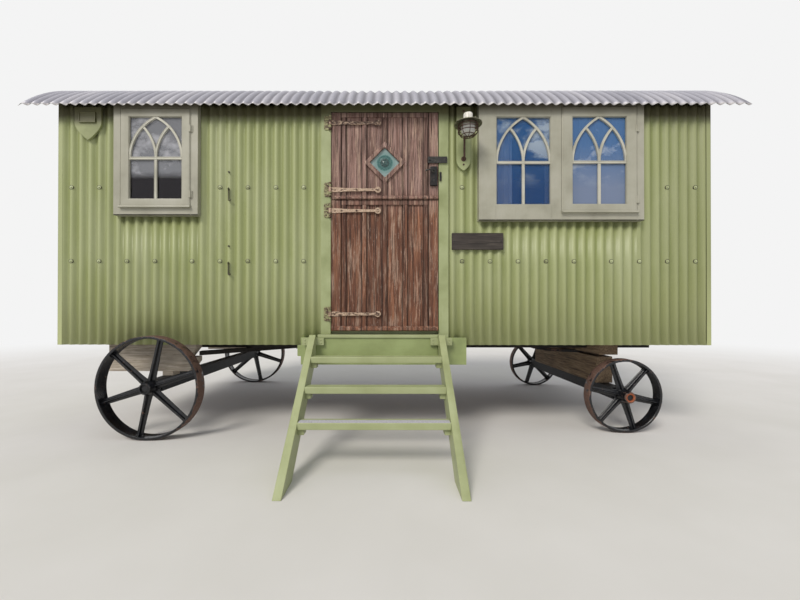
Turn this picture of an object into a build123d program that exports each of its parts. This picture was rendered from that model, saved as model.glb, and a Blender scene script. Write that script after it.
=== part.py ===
from build123d import *
import math
import os

# A shepherd's hut on four cast-iron wheels, with a stable door and loose steps.
# Millimetres, +X to the right along the front, +Y to the back, +Z up.
# The origin lies on the ground below the middle of everything, steps included.

os.makedirs("parts", exist_ok=True)

# Body, measured over the crests of its corrugated sheets
body_length = 5320
body_width = 2134
wall_bottom = 734
floor_top = 821
wall_thickness = 70
floor_board = 22
corrugation_pitch = 76
corrugation_depth = 19
crest_offset = 29
cladding_web = 3

# Barrel roof
roof_radius = 1550
eave_height = 2648
eave_overhang = 112
roof_end_overhang = 240
roof_sheet_depth = 18
roof_deck_thickness = 22
roof_seat = 0.3
deck_side_overhang = 20
deck_end_overhang = 190

# Stable door in the front
door_x = 7
leaf_width = 868
leaf_bottom = 849
leaf_split = 1915
leaf_top = 2628
leaf_gap = 5
leaf_thickness = 44
leaf_relief = 14
stile_width = 77
batten_width = 34
batten_pitch = 167
batten_count = 5
leaf_rail = 30
weather_bar = (16, 32)
drip_board = (22, 41)
bar_inset = 25
post_width = 80
post_proud = 8
stop_depth = 15
sill_upstand = 44
diamond_z = 2221
diamond_half = 130
diamond_moulding = 26
diamond_proud = 6
crown_pane = 6
bullion_radii = (38, 25)
bullion_height = 9
bullion_sides = 12

# Tee hinges and door furniture
hinge_heights_upper = (1996, 2540)
hinge_heights_lower = (986, 1826)
strap_length = 415
strap_root = 40
strap_tip = 20
strap_thickness = 6
strap_eye = 28
plate_height = 115
plate_width = 50
knuckle_radius = 11
knuckle_stand = 12
knuckle_gap = 1
pin_radius = 5
pin_clearance = 1
round_sides = 10
lock_size = (60, 22, 157)
lock_z = 2103
lock_inset = 8
lever_length = 62
hasp_size = (158, 8, 53)
hasp_z = 2237
hasp_reach = 72
keep_size = (16, 12, 70)

# Windows: overall sash widths, glass widths, sills and the common head of the glass.
# Their places follow from the door outwards, past the hooks on the left and the lamp on the right.
window_border = 57
window_proud = 45
window_lining = 28
casement_proud = 8
sash_thickness = 45
sash_rail = 72
sash_gap = 2
glass_thickness = 4
glass_rebate = 8
glass_setback = 22
glass_top = 2572
left_sash_width = 567
left_glass_width = 421
left_glass_bottom = 1914
right_sash_width = 605
right_glass_width = 430
right_glass_bottom = 1872
architrave_top_gap = 8
architrave_sill = 60

# Chassis
frame_depth = 65
frame_timber = 75
joist_spacing = 400
rail_y = 520
rail_width = 70
rail_depth = 74
rail_inset = 140
brace_width = 50
brace_depth = 39
brace_end_y = 247
brace_run = 700
axle_width = 90
axle_depth = 100
journal_radius = 25
journal_clearance = 1
hub_side_gap = 6

# Rear wheels, set in from the body's left end, and what carries the body on their axle
rear_setback = 811
rear_radius = 406.5
rear_rim_width = 105
rear_face_out = 135
rear_hub_out = 25
rear_spoke_angle = 18
block_length = 744
block_offset = 131
block_y = 867
block_width = 110
block_height = 119.5
block_gap = 0.3
packing_length = 90

# Front wheels, set in from the body's right end, with their bolsters and turntable
front_setback = 653
front_radius = 305
front_rim_width = 90
front_face_out = -60
front_hub_out = 60
front_spoke_angle = 48
bolster_width = 170
bolster_half = 765
bolster_depth = 116
ring_outer = 380
ring_inner = 320
ring_sides = 24
ring_thickness = 12
bed_width = 150
bed_half = 700

# Cast wheels
rim_sides = 32
hub_sides = 16
rim_edge = 20
rim_web = 11
rim_flange = 16
spoke_count = 6
spoke_root = 56
spoke_end = 40
rib_root = 70
rib_end = 44
spoke_web = 12
hub_radius = 58
hub_nose = 45
hub_inner = 40
hub_barrel = 36
hub_recess_radius = 34
hub_recess = 12

# Steps with the apron that they lean on
apron_x = (-670, 667)
apron_z = (577, 796)
apron_thickness = 25
riser_thickness = 20
riser_bottom = 640
nosing_x = (-530, 431)
nosing_reach = 50
steps_x = -52
steps_width = 970
steps_slope = 41.4
stringer_thickness = 50
stringer_width = 148
stringer_top_reach = 100
tread_tops = (672, 492, 312)
tread_depth = 95
tread_thickness = 45
tread_proud = 12
cleat_size = (38, 40)
hanger_length = 172
hanger_height = 57
hanger_thickness = 30
apron_bracket = (33, 6, 90)

# Things on the front wall, each with its clear distance from what stands nearer to the door
sign_clearance = 26
sign_z = 1576
sign_size = (416, 20, 135)
shield_clearance = 117.5
shield_width = 220
shield_top = 2668
shield_shoulder = 2530
shield_tip = 2396
shield_thickness = 20
shield_panel = (135, 12, 84)
shield_panel_z = 2580
hook_inset = 42
hook_clearance = 234.5
hook_heights = (2002, 1398)
hook_drop = 97
hook_rod = 4
hook_eye = 10
hook_stand = 14
lamp_clearance = 61.5
lamp_out = 165
lamp_plate_width = 115
lamp_plate_thickness = 25
lamp_plate_top = 2668
lamp_plate_shoulder = 2246
lamp_plate_tip = 2146
lamp_sides = 16
lamp_shade_z = 2438
lamp_shade_radius = 107
lamp_shade_rim = 7
lamp_shade_rise = 18
lamp_cap_radius = 36
lamp_cap_height = 86
lamp_cage_radius = 75
lamp_cage_foot = 45
lamp_cage_waist = 62
lamp_cage_height = 94
lamp_arm_radius = 10
lamp_arm_sides = 8
lamp_arm_foot = 2241
lamp_arm_rise = 48
lamp_arm_stand = 30

# Derived places, from the hut's centre line outwards
half_length = body_length / 2
half_width = body_width / 2
rear_x = -half_length + rear_setback
front_x = half_length - front_setback
block_x = rear_x - block_offset
skin = corrugation_depth + cladding_web
slab_x = half_length - skin
slab_y = half_width - skin
slope = math.radians(steps_slope)
step_run = floor_top / math.tan(slope)
steps_reach = half_width + stringer_top_reach + step_run
back_reach = half_width + rear_face_out + rear_hub_out
hut_y = (steps_reach - back_reach) / 2
crest_y = hut_y - half_width
post_face = crest_y - post_proud
wall_inner = hut_y - slab_y + wall_thickness
leaf_left = door_x - leaf_width / 2
leaf_right = door_x + leaf_width / 2
leaf_back = post_face + leaf_thickness
opening_x = (leaf_left - leaf_gap, leaf_right + leaf_gap)
posts_x = (opening_x[0] - post_width, opening_x[1] + post_width)
sign_x = posts_x[1] + sign_clearance + sign_size[0] / 2
lamp_x = posts_x[1] + lamp_clearance + lamp_plate_width / 2
right_frame_left = lamp_x + lamp_plate_width / 2 + lamp_clearance
right_window_x = right_frame_left + window_border + right_sash_width + sash_gap / 2
deck_outer = roof_radius - roof_sheet_depth - roof_seat
deck_inner = deck_outer - roof_deck_thickness
under_deck = deck_inner - roof_seat
roof_half_width = half_width + eave_overhang
roof_axis_z = eave_height - math.sqrt(roof_radius**2 - roof_half_width**2)
roof_angle = math.degrees(math.asin(roof_half_width / roof_radius))
deck_angle = math.degrees(math.asin((half_width + deck_side_overhang) / deck_outer))
hinge_x = leaf_left - knuckle_radius + 1
hinge_y = post_face - knuckle_stand
hook_x = hinge_x - leaf_width + hook_inset
left_window_x = hook_x - hook_clearance - window_border - left_sash_width / 2
shield_x = left_window_x - left_sash_width / 2 - window_border - shield_clearance - shield_width / 2
frame_bottom = wall_bottom
frame_top = floor_top - floor_board
rail_bottom = frame_bottom - rail_depth


def span(x, y, z, mode=Mode.ADD):
    # A block between pairs of low and high values
    with Locations(((x[0] + x[1]) / 2, (y[0] + y[1]) / 2, (z[0] + z[1]) / 2)):
        Box(x[1] - x[0], y[1] - y[0], z[1] - z[0], mode=mode)


def roof_height(out, radius):
    # Height of the roof's arc of that radius, this far from the centre line
    return roof_axis_z + math.sqrt(radius**2 - out**2)


def trim_under_roof():
    # Keeps what lies under the deck's arc, down to the ground
    with BuildSketch(Plane.YZ.offset(-half_length)) as under:
        with BuildLine():
            low = hut_y - under_deck
            high = hut_y + under_deck
            CenterArc((hut_y, roof_axis_z), under_deck, 0, 180)
            Polyline((low, roof_axis_z), (low, 0), (high, 0), (high, roof_axis_z))
        make_face()
    extrude(under.sketch, amount=body_length, mode=Mode.INTERSECT)


def prism(radius, sides, z, mode=Mode.ADD, end_radius=None):
    # A many-sided round about Z from one height to another, drafted to its end radius
    with BuildSketch(Plane.XY.offset(z[0])) as outline:
        RegularPolygon(radius, sides)
    rise = z[1] - z[0]
    draft = 0 if end_radius is None else math.degrees(math.atan2(radius - end_radius, abs(rise)))
    extrude(outline.sketch, amount=rise, taper=draft, mode=mode)


def save(piece, name):
    piece.part.label = name
    export_step(piece.part, f"parts/{name}.step")


# Walls
def window_hole(centre, sash_width, count, bottom):
    # Clear opening for the lining, as pairs along X and Z
    half = (count * sash_width + (count - 1) * sash_gap) / 2 + window_lining
    low = bottom - sash_rail - window_lining
    high = glass_top + sash_rail + window_lining
    return (centre - half, centre + half), (low, high)


left_hole = window_hole(left_window_x, left_sash_width, 1, left_glass_bottom)
right_hole = window_hole(right_window_x, right_sash_width, 2, right_glass_bottom)
through_front = (crest_y - window_proud, wall_inner + wall_thickness)
wall_top = roof_height(0, under_deck)
front_slab_y = (hut_y - slab_y, wall_inner)

with BuildPart() as front_wall_left:
    span((-slab_x, posts_x[0]), front_slab_y, (floor_top, wall_top))
    span(left_hole[0], through_front, left_hole[1], Mode.SUBTRACT)
    trim_under_roof()
save(front_wall_left, "front_wall_left")

with BuildPart() as front_wall_right:
    span((posts_x[1], slab_x), front_slab_y, (floor_top, wall_top))
    span(right_hole[0], through_front, right_hole[1], Mode.SUBTRACT)
    trim_under_roof()
save(front_wall_right, "front_wall_right")

back_slab_y = (hut_y + slab_y - wall_thickness, hut_y + slab_y)
with BuildPart() as back_wall:
    span((-slab_x, slab_x), back_slab_y, (floor_top, wall_top))
    trim_under_roof()
save(back_wall, "back_wall")

end_slab_y = (wall_inner, hut_y + slab_y - wall_thickness)
with BuildPart() as left_end_wall:
    span((-slab_x, -slab_x + wall_thickness), end_slab_y, (floor_top, wall_top))
    trim_under_roof()
save(left_end_wall, "left_end_wall")

with BuildPart() as right_end_wall:
    span((slab_x - wall_thickness, slab_x), end_slab_y, (floor_top, wall_top))
    trim_under_roof()
save(right_end_wall, "right_end_wall")


# Corrugated cladding, flat at its back, with its crests at the body's overall size
def wave(along):
    # Flat crests and troughs, a quarter of the pitch wide, with straight slopes between
    phase = 2 * math.pi * (along + crest_offset) / corrugation_pitch
    rise = (1 + math.sqrt(2) * math.cos(phase)) / 2
    return cladding_web + corrugation_depth * min(max(rise, 0), 1)


def corrugate(face, start, end, height):
    # Extrudes a corrugated strip upwards from a plane whose +Y points out of the wall
    step = corrugation_pitch / 4
    first = math.floor((start + crest_offset) / step)
    last = math.ceil((end + crest_offset) / step)
    bends = [(n + 0.5) * step - crest_offset for n in range(first, last)]
    stations = [start] + [u for u in bends if start < u < end] + [end]
    outline = [(start, 0)] + [(u, wave(u)) for u in stations] + [(end, 0)]
    with BuildSketch(face) as strip:
        with BuildLine():
            Polyline(*outline, close=True)
        make_face()
    extrude(strip.sketch, amount=height)


def wall_face(x, y, along):
    # Sheet plane at the foot of a wall, running along the given direction
    return Plane(origin=(x, y, wall_bottom), x_dir=along, z_dir=(0, 0, 1))


front_face = wall_face(0, hut_y - slab_y, (-1, 0, 0))
side_height = roof_height(half_width, under_deck) - wall_bottom
end_height = wall_top - wall_bottom

with BuildPart() as front_cladding_left:
    corrugate(front_face, -posts_x[0], half_length, side_height)
    span(left_hole[0], through_front, left_hole[1], Mode.SUBTRACT)
save(front_cladding_left, "front_cladding_left")

with BuildPart() as front_cladding_right:
    corrugate(front_face, -half_length, -posts_x[1], side_height)
    span(right_hole[0], through_front, right_hole[1], Mode.SUBTRACT)
save(front_cladding_right, "front_cladding_right")

with BuildPart() as back_cladding:
    corrugate(wall_face(0, hut_y + slab_y, (1, 0, 0)), -half_length, half_length, side_height)
save(back_cladding, "back_cladding")

with BuildPart() as left_end_cladding:
    corrugate(wall_face(-slab_x, hut_y, (0, 1, 0)), -slab_y, slab_y, end_height)
    trim_under_roof()
save(left_end_cladding, "left_end_cladding")

with BuildPart() as right_end_cladding:
    corrugate(wall_face(slab_x, hut_y, (0, -1, 0)), -slab_y, slab_y, end_height)
    trim_under_roof()
save(right_end_cladding, "right_end_cladding")


# Roof
def roof_shell(outer, inner, angle, length):
    # A curved shell about the roof's axis, cut square to its surface at both eaves
    with BuildSketch(Plane.YZ.offset(-length / 2)) as section:
        with BuildLine():
            top = CenterArc((hut_y, roof_axis_z), outer, 90 - angle, 2 * angle)
            low = CenterArc((hut_y, roof_axis_z), inner, 90 - angle, 2 * angle)
            Line(top @ 0, low @ 0)
            Line(top @ 1, low @ 1)
        make_face()
    extrude(section.sketch, amount=length)


with BuildPart() as roof_sheet:
    roof_shell(roof_radius, roof_radius - roof_sheet_depth, roof_angle, body_length + 2 * roof_end_overhang)
save(roof_sheet, "roof_sheet")

with BuildPart() as roof_deck:
    roof_shell(deck_outer, deck_inner, deck_angle, body_length + 2 * deck_end_overhang)
save(roof_deck, "roof_deck")

# Floor boards on a joisted frame
with BuildPart() as floor_boards:
    span((-slab_x, slab_x), (hut_y - slab_y, hut_y + slab_y), (frame_top, floor_top))
save(floor_boards, "floor_boards")

joist_count = math.floor((2 * slab_x - 2 * frame_timber) / joist_spacing)
with BuildPart() as floor_frame:
    span((-slab_x, slab_x), (hut_y - slab_y, hut_y + slab_y), (frame_bottom, frame_top))
    span(
        (-slab_x + frame_timber, slab_x - frame_timber),
        (hut_y - slab_y + frame_timber, hut_y + slab_y - frame_timber),
        (frame_bottom, frame_top),
        Mode.SUBTRACT,
    )
    with Locations((0, hut_y, (frame_bottom + frame_top) / 2)):
        with GridLocations(joist_spacing, 0, joist_count, 1):
            Box(frame_timber / 2, 2 * slab_y - frame_timber, frame_depth)
save(floor_frame, "floor_frame")

# Door frame, with stops behind the leaves and an upstand at the sill
opening_top = leaf_top + leaf_gap
head_top = roof_height(half_width + post_proud, under_deck)
with BuildPart() as door_frame:
    span(posts_x, (post_face, wall_inner), (floor_top, head_top))
    span(opening_x, (post_face, leaf_back + leaf_gap), (floor_top, opening_top), Mode.SUBTRACT)
    span(
        (opening_x[0] + stop_depth, opening_x[1] - stop_depth),
        (post_face, wall_inner),
        (floor_top + sill_upstand, opening_top - stop_depth),
        Mode.SUBTRACT,
    )
save(door_frame, "door_frame")

with BuildPart() as threshold:
    span(posts_x, (post_face, hut_y - slab_y), (apron_z[1], floor_top))
    span(nosing_x, (post_face - nosing_reach, post_face), (apron_z[1], floor_top))
save(threshold, "threshold")


# Door leaves: boards with proud stiles, rails and cover battens
def leaf_face(low, high):
    # Front relief of a leaf between two heights
    relief_y = (post_face, post_face + leaf_relief)
    span((leaf_left, leaf_right), (post_face + leaf_relief, leaf_back), (low, high))
    span((leaf_left, leaf_left + stile_width), relief_y, (low, high))
    span((leaf_right - stile_width, leaf_right), relief_y, (low, high))
    for edge in ((low, low + leaf_rail), (high - leaf_rail, high)):
        span((leaf_left, leaf_right), relief_y, edge)
    for n in range(batten_count):
        x = door_x + (n - (batten_count - 1) / 2) * batten_pitch
        span((x - batten_width / 2, x + batten_width / 2), relief_y, (low, high))


def proud_bar(size, low):
    # A board across the face, clear of the hinge knuckles when the leaf is open
    proud, height = size
    span((leaf_left + bar_inset, leaf_right), (post_face - proud, post_face), (low, low + height))


def diamond(half, y, mode=Mode.ADD):
    # A square on its corner, between two planes across the leaf
    with BuildSketch(Plane.XZ.offset(-y[1])) as square:
        with Locations((door_x, diamond_z)):
            RegularPolygon(half, 4)
    extrude(square.sketch, amount=y[1] - y[0], mode=mode)


with BuildPart() as door_upper:
    leaf_face(leaf_split + leaf_gap / 2, leaf_top)
    proud_bar(weather_bar, leaf_split + leaf_gap / 2)
    diamond(diamond_half + diamond_moulding, (post_face - diamond_proud, post_face + leaf_relief))
    diamond(diamond_half, (post_face - diamond_proud, leaf_back), Mode.SUBTRACT)
save(door_upper, "door_upper")

with BuildPart() as door_lower:
    leaf_face(leaf_bottom, leaf_split - leaf_gap / 2)
    proud_bar(drip_board, leaf_bottom)
save(door_lower, "door_lower")

# Crown glass: a square pane with the bullion where the rod was broken off
pane_y = (post_face + leaf_relief, post_face + leaf_relief + crown_pane)
with BuildPart() as diamond_window:
    diamond(diamond_half, pane_y)
    with BuildSketch(Plane.XZ.offset(-pane_y[0])) as bullion:
        with Locations((door_x, diamond_z)):
            RegularPolygon(bullion_radii[0], bullion_sides)
    with BuildSketch(Plane.XZ.offset(bullion_height - pane_y[0])) as crown:
        with Locations((door_x, diamond_z)):
            RegularPolygon(bullion_radii[1], bullion_sides)
    loft([bullion.sketch.face(), crown.sketch.face()], ruled=True)
save(diamond_window, "diamond_window")


# Tee hinges: straps on the leaves, plates with pins on the left post
def hinge_cylinder(radius, z, mode=Mode.ADD):
    with BuildSketch(Plane.XY.offset(z[0])) as disc:
        with Locations((hinge_x, hinge_y)):
            RegularPolygon(radius, round_sides)
    extrude(disc.sketch, amount=z[1] - z[0], mode=mode)


def strap(z):
    # Tapered strap with a round end, and the middle knuckle
    knuckle = (z - strap_root / 2, z + strap_root / 2)
    with BuildSketch(Plane.XZ.offset(-post_face)) as outline:
        with BuildLine():
            Polyline(
                (hinge_x, knuckle[0]),
                (hinge_x + strap_length - strap_eye, z - strap_tip / 2),
                (hinge_x + strap_length - strap_eye, z + strap_tip / 2),
                (hinge_x, knuckle[1]),
                close=True,
            )
        make_face()
        with Locations((hinge_x + strap_length - strap_eye, z)):
            RegularPolygon(strap_eye, hub_sides)
    extrude(outline.sketch, amount=strap_thickness)
    hinge_cylinder(knuckle_radius, knuckle)
    hinge_cylinder(pin_radius + pin_clearance, knuckle, Mode.SUBTRACT)


def jamb_plate(z):
    # Plate on the post with a knuckle above and below the strap's, and the pin
    plate_z = (z - plate_height / 2, z + plate_height / 2)
    plate_y = (post_face - strap_thickness, post_face)
    inner = strap_root / 2 + knuckle_gap
    span((hinge_x - plate_width, hinge_x - knuckle_radius - knuckle_gap), plate_y, plate_z)
    for ends in ((plate_z[0], z - inner), (z + inner, plate_z[1])):
        span((hinge_x - knuckle_radius - knuckle_gap, hinge_x), plate_y, ends)
        hinge_cylinder(knuckle_radius, ends)
    hinge_cylinder(pin_radius, plate_z)


with BuildPart() as upper_hinges:
    for height in hinge_heights_upper:
        strap(height)
save(upper_hinges, "upper_hinges")

with BuildPart() as lower_hinges:
    for height in hinge_heights_lower:
        strap(height)
save(lower_hinges, "lower_hinges")

keep_x = (opening_x[1] + leaf_gap, opening_x[1] + leaf_gap + keep_size[0])
with BuildPart() as jamb_ironwork:
    for height in hinge_heights_lower + hinge_heights_upper:
        jamb_plate(height)
    keep_z = (lock_z - keep_size[2] / 2, lock_z + keep_size[2] / 2)
    span(keep_x, (post_face - keep_size[1], post_face), keep_z)
save(jamb_ironwork, "jamb_ironwork")

# Rim lock with its lever, and the hasp that reaches across to the post
lock_x = (leaf_right - lock_inset - lock_size[0], leaf_right - lock_inset)
with BuildPart() as door_lock:
    lock_span = (lock_z - lock_size[2] / 2, lock_z + lock_size[2] / 2)
    span(lock_x, (post_face - lock_size[1], post_face), lock_span)
    with BuildSketch(Plane.XZ.offset(-(post_face - lock_size[1]))) as lever:
        with Locations((lock_x[0] + lock_size[0] / 2 - lever_length / 2, lock_z + lock_size[2] / 4)):
            SlotOverall(lever_length + 2 * hook_eye, 2 * hook_eye)
    extrude(lever.sketch, amount=lock_size[1] / 2)
    hasp_x = (leaf_right + hasp_reach - hasp_size[0], leaf_right + hasp_reach)
    hasp_y = (post_face - keep_size[1] / 2 - hasp_size[1], post_face - keep_size[1] / 2)
    hasp_span = (hasp_z - hasp_size[2] / 2, hasp_z + hasp_size[2] / 2)
    span(hasp_x, hasp_y, hasp_span)
    span((hasp_x[0], leaf_right - lock_inset), (hasp_y[1], post_face), hasp_span)
save(door_lock, "door_lock")


# Windows
def window_frame(centre, sash_width, count, bottom):
    # Architrave proud of the sheets, with a lining through the wall
    hole_x, hole_z = window_hole(centre, sash_width, count, bottom)
    clear_x = (hole_x[0] + window_lining, hole_x[1] - window_lining)
    clear_z = (hole_z[0] + window_lining, hole_z[1] - window_lining)
    face = crest_y - window_proud
    top = roof_height(half_width + window_proud, roof_radius - roof_sheet_depth) - architrave_top_gap
    span(
        (clear_x[0] - window_border, clear_x[1] + window_border),
        (face, crest_y),
        (clear_z[0] - architrave_sill, top),
    )
    span(hole_x, (crest_y, wall_inner), hole_z)
    span(clear_x, (face, wall_inner), clear_z, Mode.SUBTRACT)


def sash(centre, sash_width, glass_width, bottom, proud):
    # Sash with a rebate behind for the glass, flush with the architrave or proud of it
    face = crest_y - window_proud - proud
    back = face + sash_thickness
    clear_x = (centre - glass_width / 2, centre + glass_width / 2)
    clear_z = (bottom, glass_top)
    span(
        (centre - sash_width / 2, centre + sash_width / 2),
        (face, back),
        (clear_z[0] - sash_rail, clear_z[1] + sash_rail),
    )
    span(clear_x, (face, back), clear_z, Mode.SUBTRACT)
    span(
        (clear_x[0] - glass_rebate, clear_x[1] + glass_rebate),
        (face + glass_setback, back),
        (clear_z[0] - glass_rebate, clear_z[1] + glass_rebate),
        Mode.SUBTRACT,
    )


def pane(centre, glass_width, bottom, proud):
    face = crest_y - window_proud - proud + glass_setback
    span(
        (centre - glass_width / 2 - glass_rebate, centre + glass_width / 2 + glass_rebate),
        (face, face + glass_thickness),
        (bottom - glass_rebate, glass_top + glass_rebate),
    )


# The left window and the right light of the pair open; the light between is fixed
left_sash = (left_window_x, left_sash_width, left_glass_width, left_glass_bottom, casement_proud)
right_sashes = []
for side, proud in ((-1, 0), (1, casement_proud)):
    x = right_window_x + side * (right_sash_width + sash_gap) / 2
    right_sashes.append((x, right_sash_width, right_glass_width, right_glass_bottom, proud))

with BuildPart() as left_window_frame:
    window_frame(left_window_x, left_sash_width, 1, left_glass_bottom)
save(left_window_frame, "left_window_frame")

with BuildPart() as right_window_frame:
    window_frame(right_window_x, right_sash_width, 2, right_glass_bottom)
save(right_window_frame, "right_window_frame")

with BuildPart() as window_sashes:
    for light in [left_sash] + right_sashes:
        sash(*light)
save(window_sashes, "window_sashes")

with BuildPart() as window_glass:
    for centre, _, glass_width, bottom, proud in [left_sash] + right_sashes:
        pane(centre, glass_width, bottom, proud)
save(window_glass, "window_glass")

# Chassis rails with the diagonal braces from the rear blocks
block_front = block_x + block_length / 2
with BuildPart() as chassis_frame:
    for side in (-1, 1):
        y = hut_y + side * rail_y
        span(
            (-half_length + rail_inset, half_length - rail_inset),
            (y - rail_width / 2, y + rail_width / 2),
            (rail_bottom, frame_bottom),
        )
        with BuildSketch(Plane.XY.offset(rail_bottom - brace_depth)) as brace:
            with BuildLine():
                near = hut_y + side * block_y
                far = hut_y + side * brace_end_y
                Polyline(
                    (block_front, near - side * brace_width),
                    (block_front, near),
                    (block_front + brace_run, far),
                    (block_front + brace_run, far - side * brace_width),
                    close=True,
                )
            make_face()
        extrude(brace.sketch, amount=brace_depth)
    brace_x = block_front + brace_run
    brace_y = (hut_y - brace_end_y - brace_width, hut_y + brace_end_y + brace_width)
    span((brace_x, brace_x + rail_width), brace_y, (rail_bottom - brace_depth, rail_bottom))
    span(
        (brace_x, brace_x + rail_width),
        (hut_y - rail_y, hut_y + rail_y),
        (rail_bottom, frame_bottom),
    )
save(chassis_frame, "chassis_frame")

# Stacked timber blocks over the rear axle, with a packing under each pair
axle_top_rear = rear_radius + axle_depth / 2
with BuildPart() as rear_blocks:
    for side in (-1, 1):
        y = hut_y + side * block_y
        block_y_span = (y - block_width / 2, y + block_width / 2)
        for n in range(2):
            top = frame_bottom - n * (block_height + block_gap)
            with BuildSketch(Plane.XZ.offset(-block_y_span[1])) as timber:
                with BuildLine():
                    Polyline(
                        (block_x - block_length / 2, top),
                        (block_front, top),
                        (block_front, top - block_height * 0.35),
                        (block_front - block_height * 0.5, top - block_height),
                        (block_x - block_length / 2, top - block_height),
                        close=True,
                    )
                make_face()
            extrude(timber.sketch, amount=block_width)
        low = frame_bottom - 2 * block_height - 2 * block_gap
        span((rear_x - packing_length / 2, rear_x + packing_length / 2), block_y_span, (axle_top_rear, low))
save(rear_blocks, "rear_blocks")


# Axles: a square beam with a turned journal at each end
def axle(x, z, hub_end, hub_length):
    beam = hub_end - hub_length - hub_side_gap
    span(
        (x - axle_width / 2, x + axle_width / 2),
        (hut_y - beam, hut_y + beam),
        (z - axle_depth / 2, z + axle_depth / 2),
    )
    journal = hub_end - hub_recess
    with BuildSketch(Plane.XZ.offset(-hut_y)) as turned:
        with Locations((x, z)):
            RegularPolygon(journal_radius, hub_sides)
    extrude(turned.sketch, amount=journal, both=True)


rear_hub_end = half_width + rear_face_out + rear_hub_out
rear_hub_length = rear_hub_out + rear_rim_width + rear_hub_out
front_hub_end = half_width + front_face_out + front_hub_out
front_hub_length = front_hub_out + front_rim_width + hub_recess

with BuildPart() as rear_axle:
    axle(rear_x, rear_radius, rear_hub_end, rear_hub_length)
save(rear_axle, "rear_axle")

with BuildPart() as front_axle:
    axle(front_x, front_radius, front_hub_end, front_hub_length)
save(front_axle, "front_axle")

# Bolsters with the turntable rings between them
ring_top = frame_bottom - bolster_depth
bed_top = ring_top - 2 * ring_thickness - roof_seat
bed_bottom = front_radius + axle_depth / 2
with BuildPart() as front_bolsters:
    span(
        (front_x - bolster_width / 2, front_x + bolster_width / 2),
        (hut_y - bolster_half, hut_y + bolster_half),
        (ring_top, frame_bottom),
    )
    for side in (-1, 1):
        y = hut_y + side * rail_y
        span(
            (front_x - bolster_width / 2, front_x + bolster_width / 2),
            (y - rail_width / 2, y + rail_width / 2),
            (rail_bottom, frame_bottom),
            Mode.SUBTRACT,
        )
    span(
        (front_x - bed_width / 2, front_x + bed_width / 2),
        (hut_y - bed_half, hut_y + bed_half),
        (bed_bottom, bed_top),
    )
save(front_bolsters, "front_bolsters")

with BuildPart() as turntable_rings:
    for n in range(2):
        level = ring_top - (n + 1) * ring_thickness - n * roof_seat
        with BuildSketch(Plane.XY.offset(level)) as ring:
            with Locations((front_x, hut_y)):
                RegularPolygon(ring_outer, ring_sides)
                RegularPolygon(ring_inner, ring_sides, mode=Mode.SUBTRACT)
        extrude(ring.sketch, amount=ring_thickness)
save(turntable_rings, "turntable_rings")


# Cast wheels, drawn about Z with the outer face up, and then stood on the ground
def cast_wheel(radius, width, hub_out, hub_length, spoke_angle):
    half = width / 2
    nose = half + hub_out
    tail = nose - hub_length
    with BuildPart() as wheel:
        lip = half - rim_flange
        within = radius - rim_web
        prism(radius, rim_sides, (-half, half))
        prism(within, rim_sides, (-lip, lip), Mode.SUBTRACT)
        barrel = (tail + hub_inner - hub_recess, half - hub_recess)
        for side in (-1, 1):
            prism(within, rim_sides, (side * lip, side * half), Mode.SUBTRACT, radius - rim_edge)
        prism(hub_radius, hub_sides, barrel)
        prism(hub_radius, hub_sides, (barrel[1], nose), end_radius=hub_nose)
        prism(hub_radius, hub_sides, (barrel[0], tail), end_radius=hub_nose)
        reach = radius - rim_web / 2
        with BuildSketch(Plane.XY.offset(-spoke_web / 2)) as web:
            with PolarLocations(0, spoke_count, spoke_angle):
                with BuildLine():
                    Polyline(
                        (hub_barrel, -spoke_root / 2),
                        (reach, -spoke_end / 2),
                        (reach, spoke_end / 2),
                        (hub_barrel, spoke_root / 2),
                        close=True,
                    )
                make_face()
        extrude(amount=spoke_web)
        with BuildSketch(Plane.XZ.offset(-spoke_web / 2), mode=Mode.PRIVATE) as rib_outline:
            with BuildLine():
                Polyline(
                    (hub_barrel, -rib_root / 2),
                    (reach, -rib_end / 2),
                    (reach, rib_end / 2),
                    (hub_barrel, rib_root / 2),
                    close=True,
                )
            make_face()
        rib = extrude(rib_outline.sketch, amount=spoke_web, mode=Mode.PRIVATE)
        with PolarLocations(0, spoke_count, spoke_angle):
            add(rib)
        prism(journal_radius + journal_clearance, hub_sides, (tail, nose), Mode.SUBTRACT)
        prism(hub_recess_radius, hub_sides, (nose - hub_recess, nose), Mode.SUBTRACT)
    return wheel.part


def stand_wheel(name, wheel, x, z, side, face_out, width):
    # Side is -1 at the front and 1 at the back
    y = hut_y + side * (half_width + face_out - width / 2)
    with BuildPart() as stood:
        with Locations(Plane(origin=(x, y, z), x_dir=(-side, 0, 0), z_dir=(0, side, 0))):
            add(wheel)
    save(stood, name)


rear_wheel = cast_wheel(rear_radius, rear_rim_width, rear_hub_out, rear_hub_length, rear_spoke_angle)
front_wheel = cast_wheel(front_radius, front_rim_width, front_hub_out, front_hub_length, front_spoke_angle)
for side, place in ((-1, "near"), (1, "far")):
    stand_wheel(f"rear_wheel_{place}", rear_wheel, rear_x, rear_radius, side, rear_face_out, rear_rim_width)
    stand_wheel(f"front_wheel_{place}", front_wheel, front_x, front_radius, side, front_face_out, front_rim_width)

# Apron below the door, with a thicker panel between the stringers
apron_face = crest_y - apron_thickness
riser_face = apron_face - riser_thickness
inner_left = steps_x - steps_width / 2
inner_right = steps_x + steps_width / 2
with BuildPart() as apron_board:
    span(apron_x, (apron_face, crest_y), apron_z)
    span((inner_left, inner_right), (riser_face, apron_face), (riser_bottom, apron_z[1]))
    bracket_x = (apron_x[0] - apron_bracket[0], apron_x[0])
    bracket_z = (wall_bottom - apron_bracket[2], wall_bottom)
    span(bracket_x, (crest_y - apron_bracket[1], crest_y), bracket_z)
save(apron_board, "apron_board")


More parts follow.
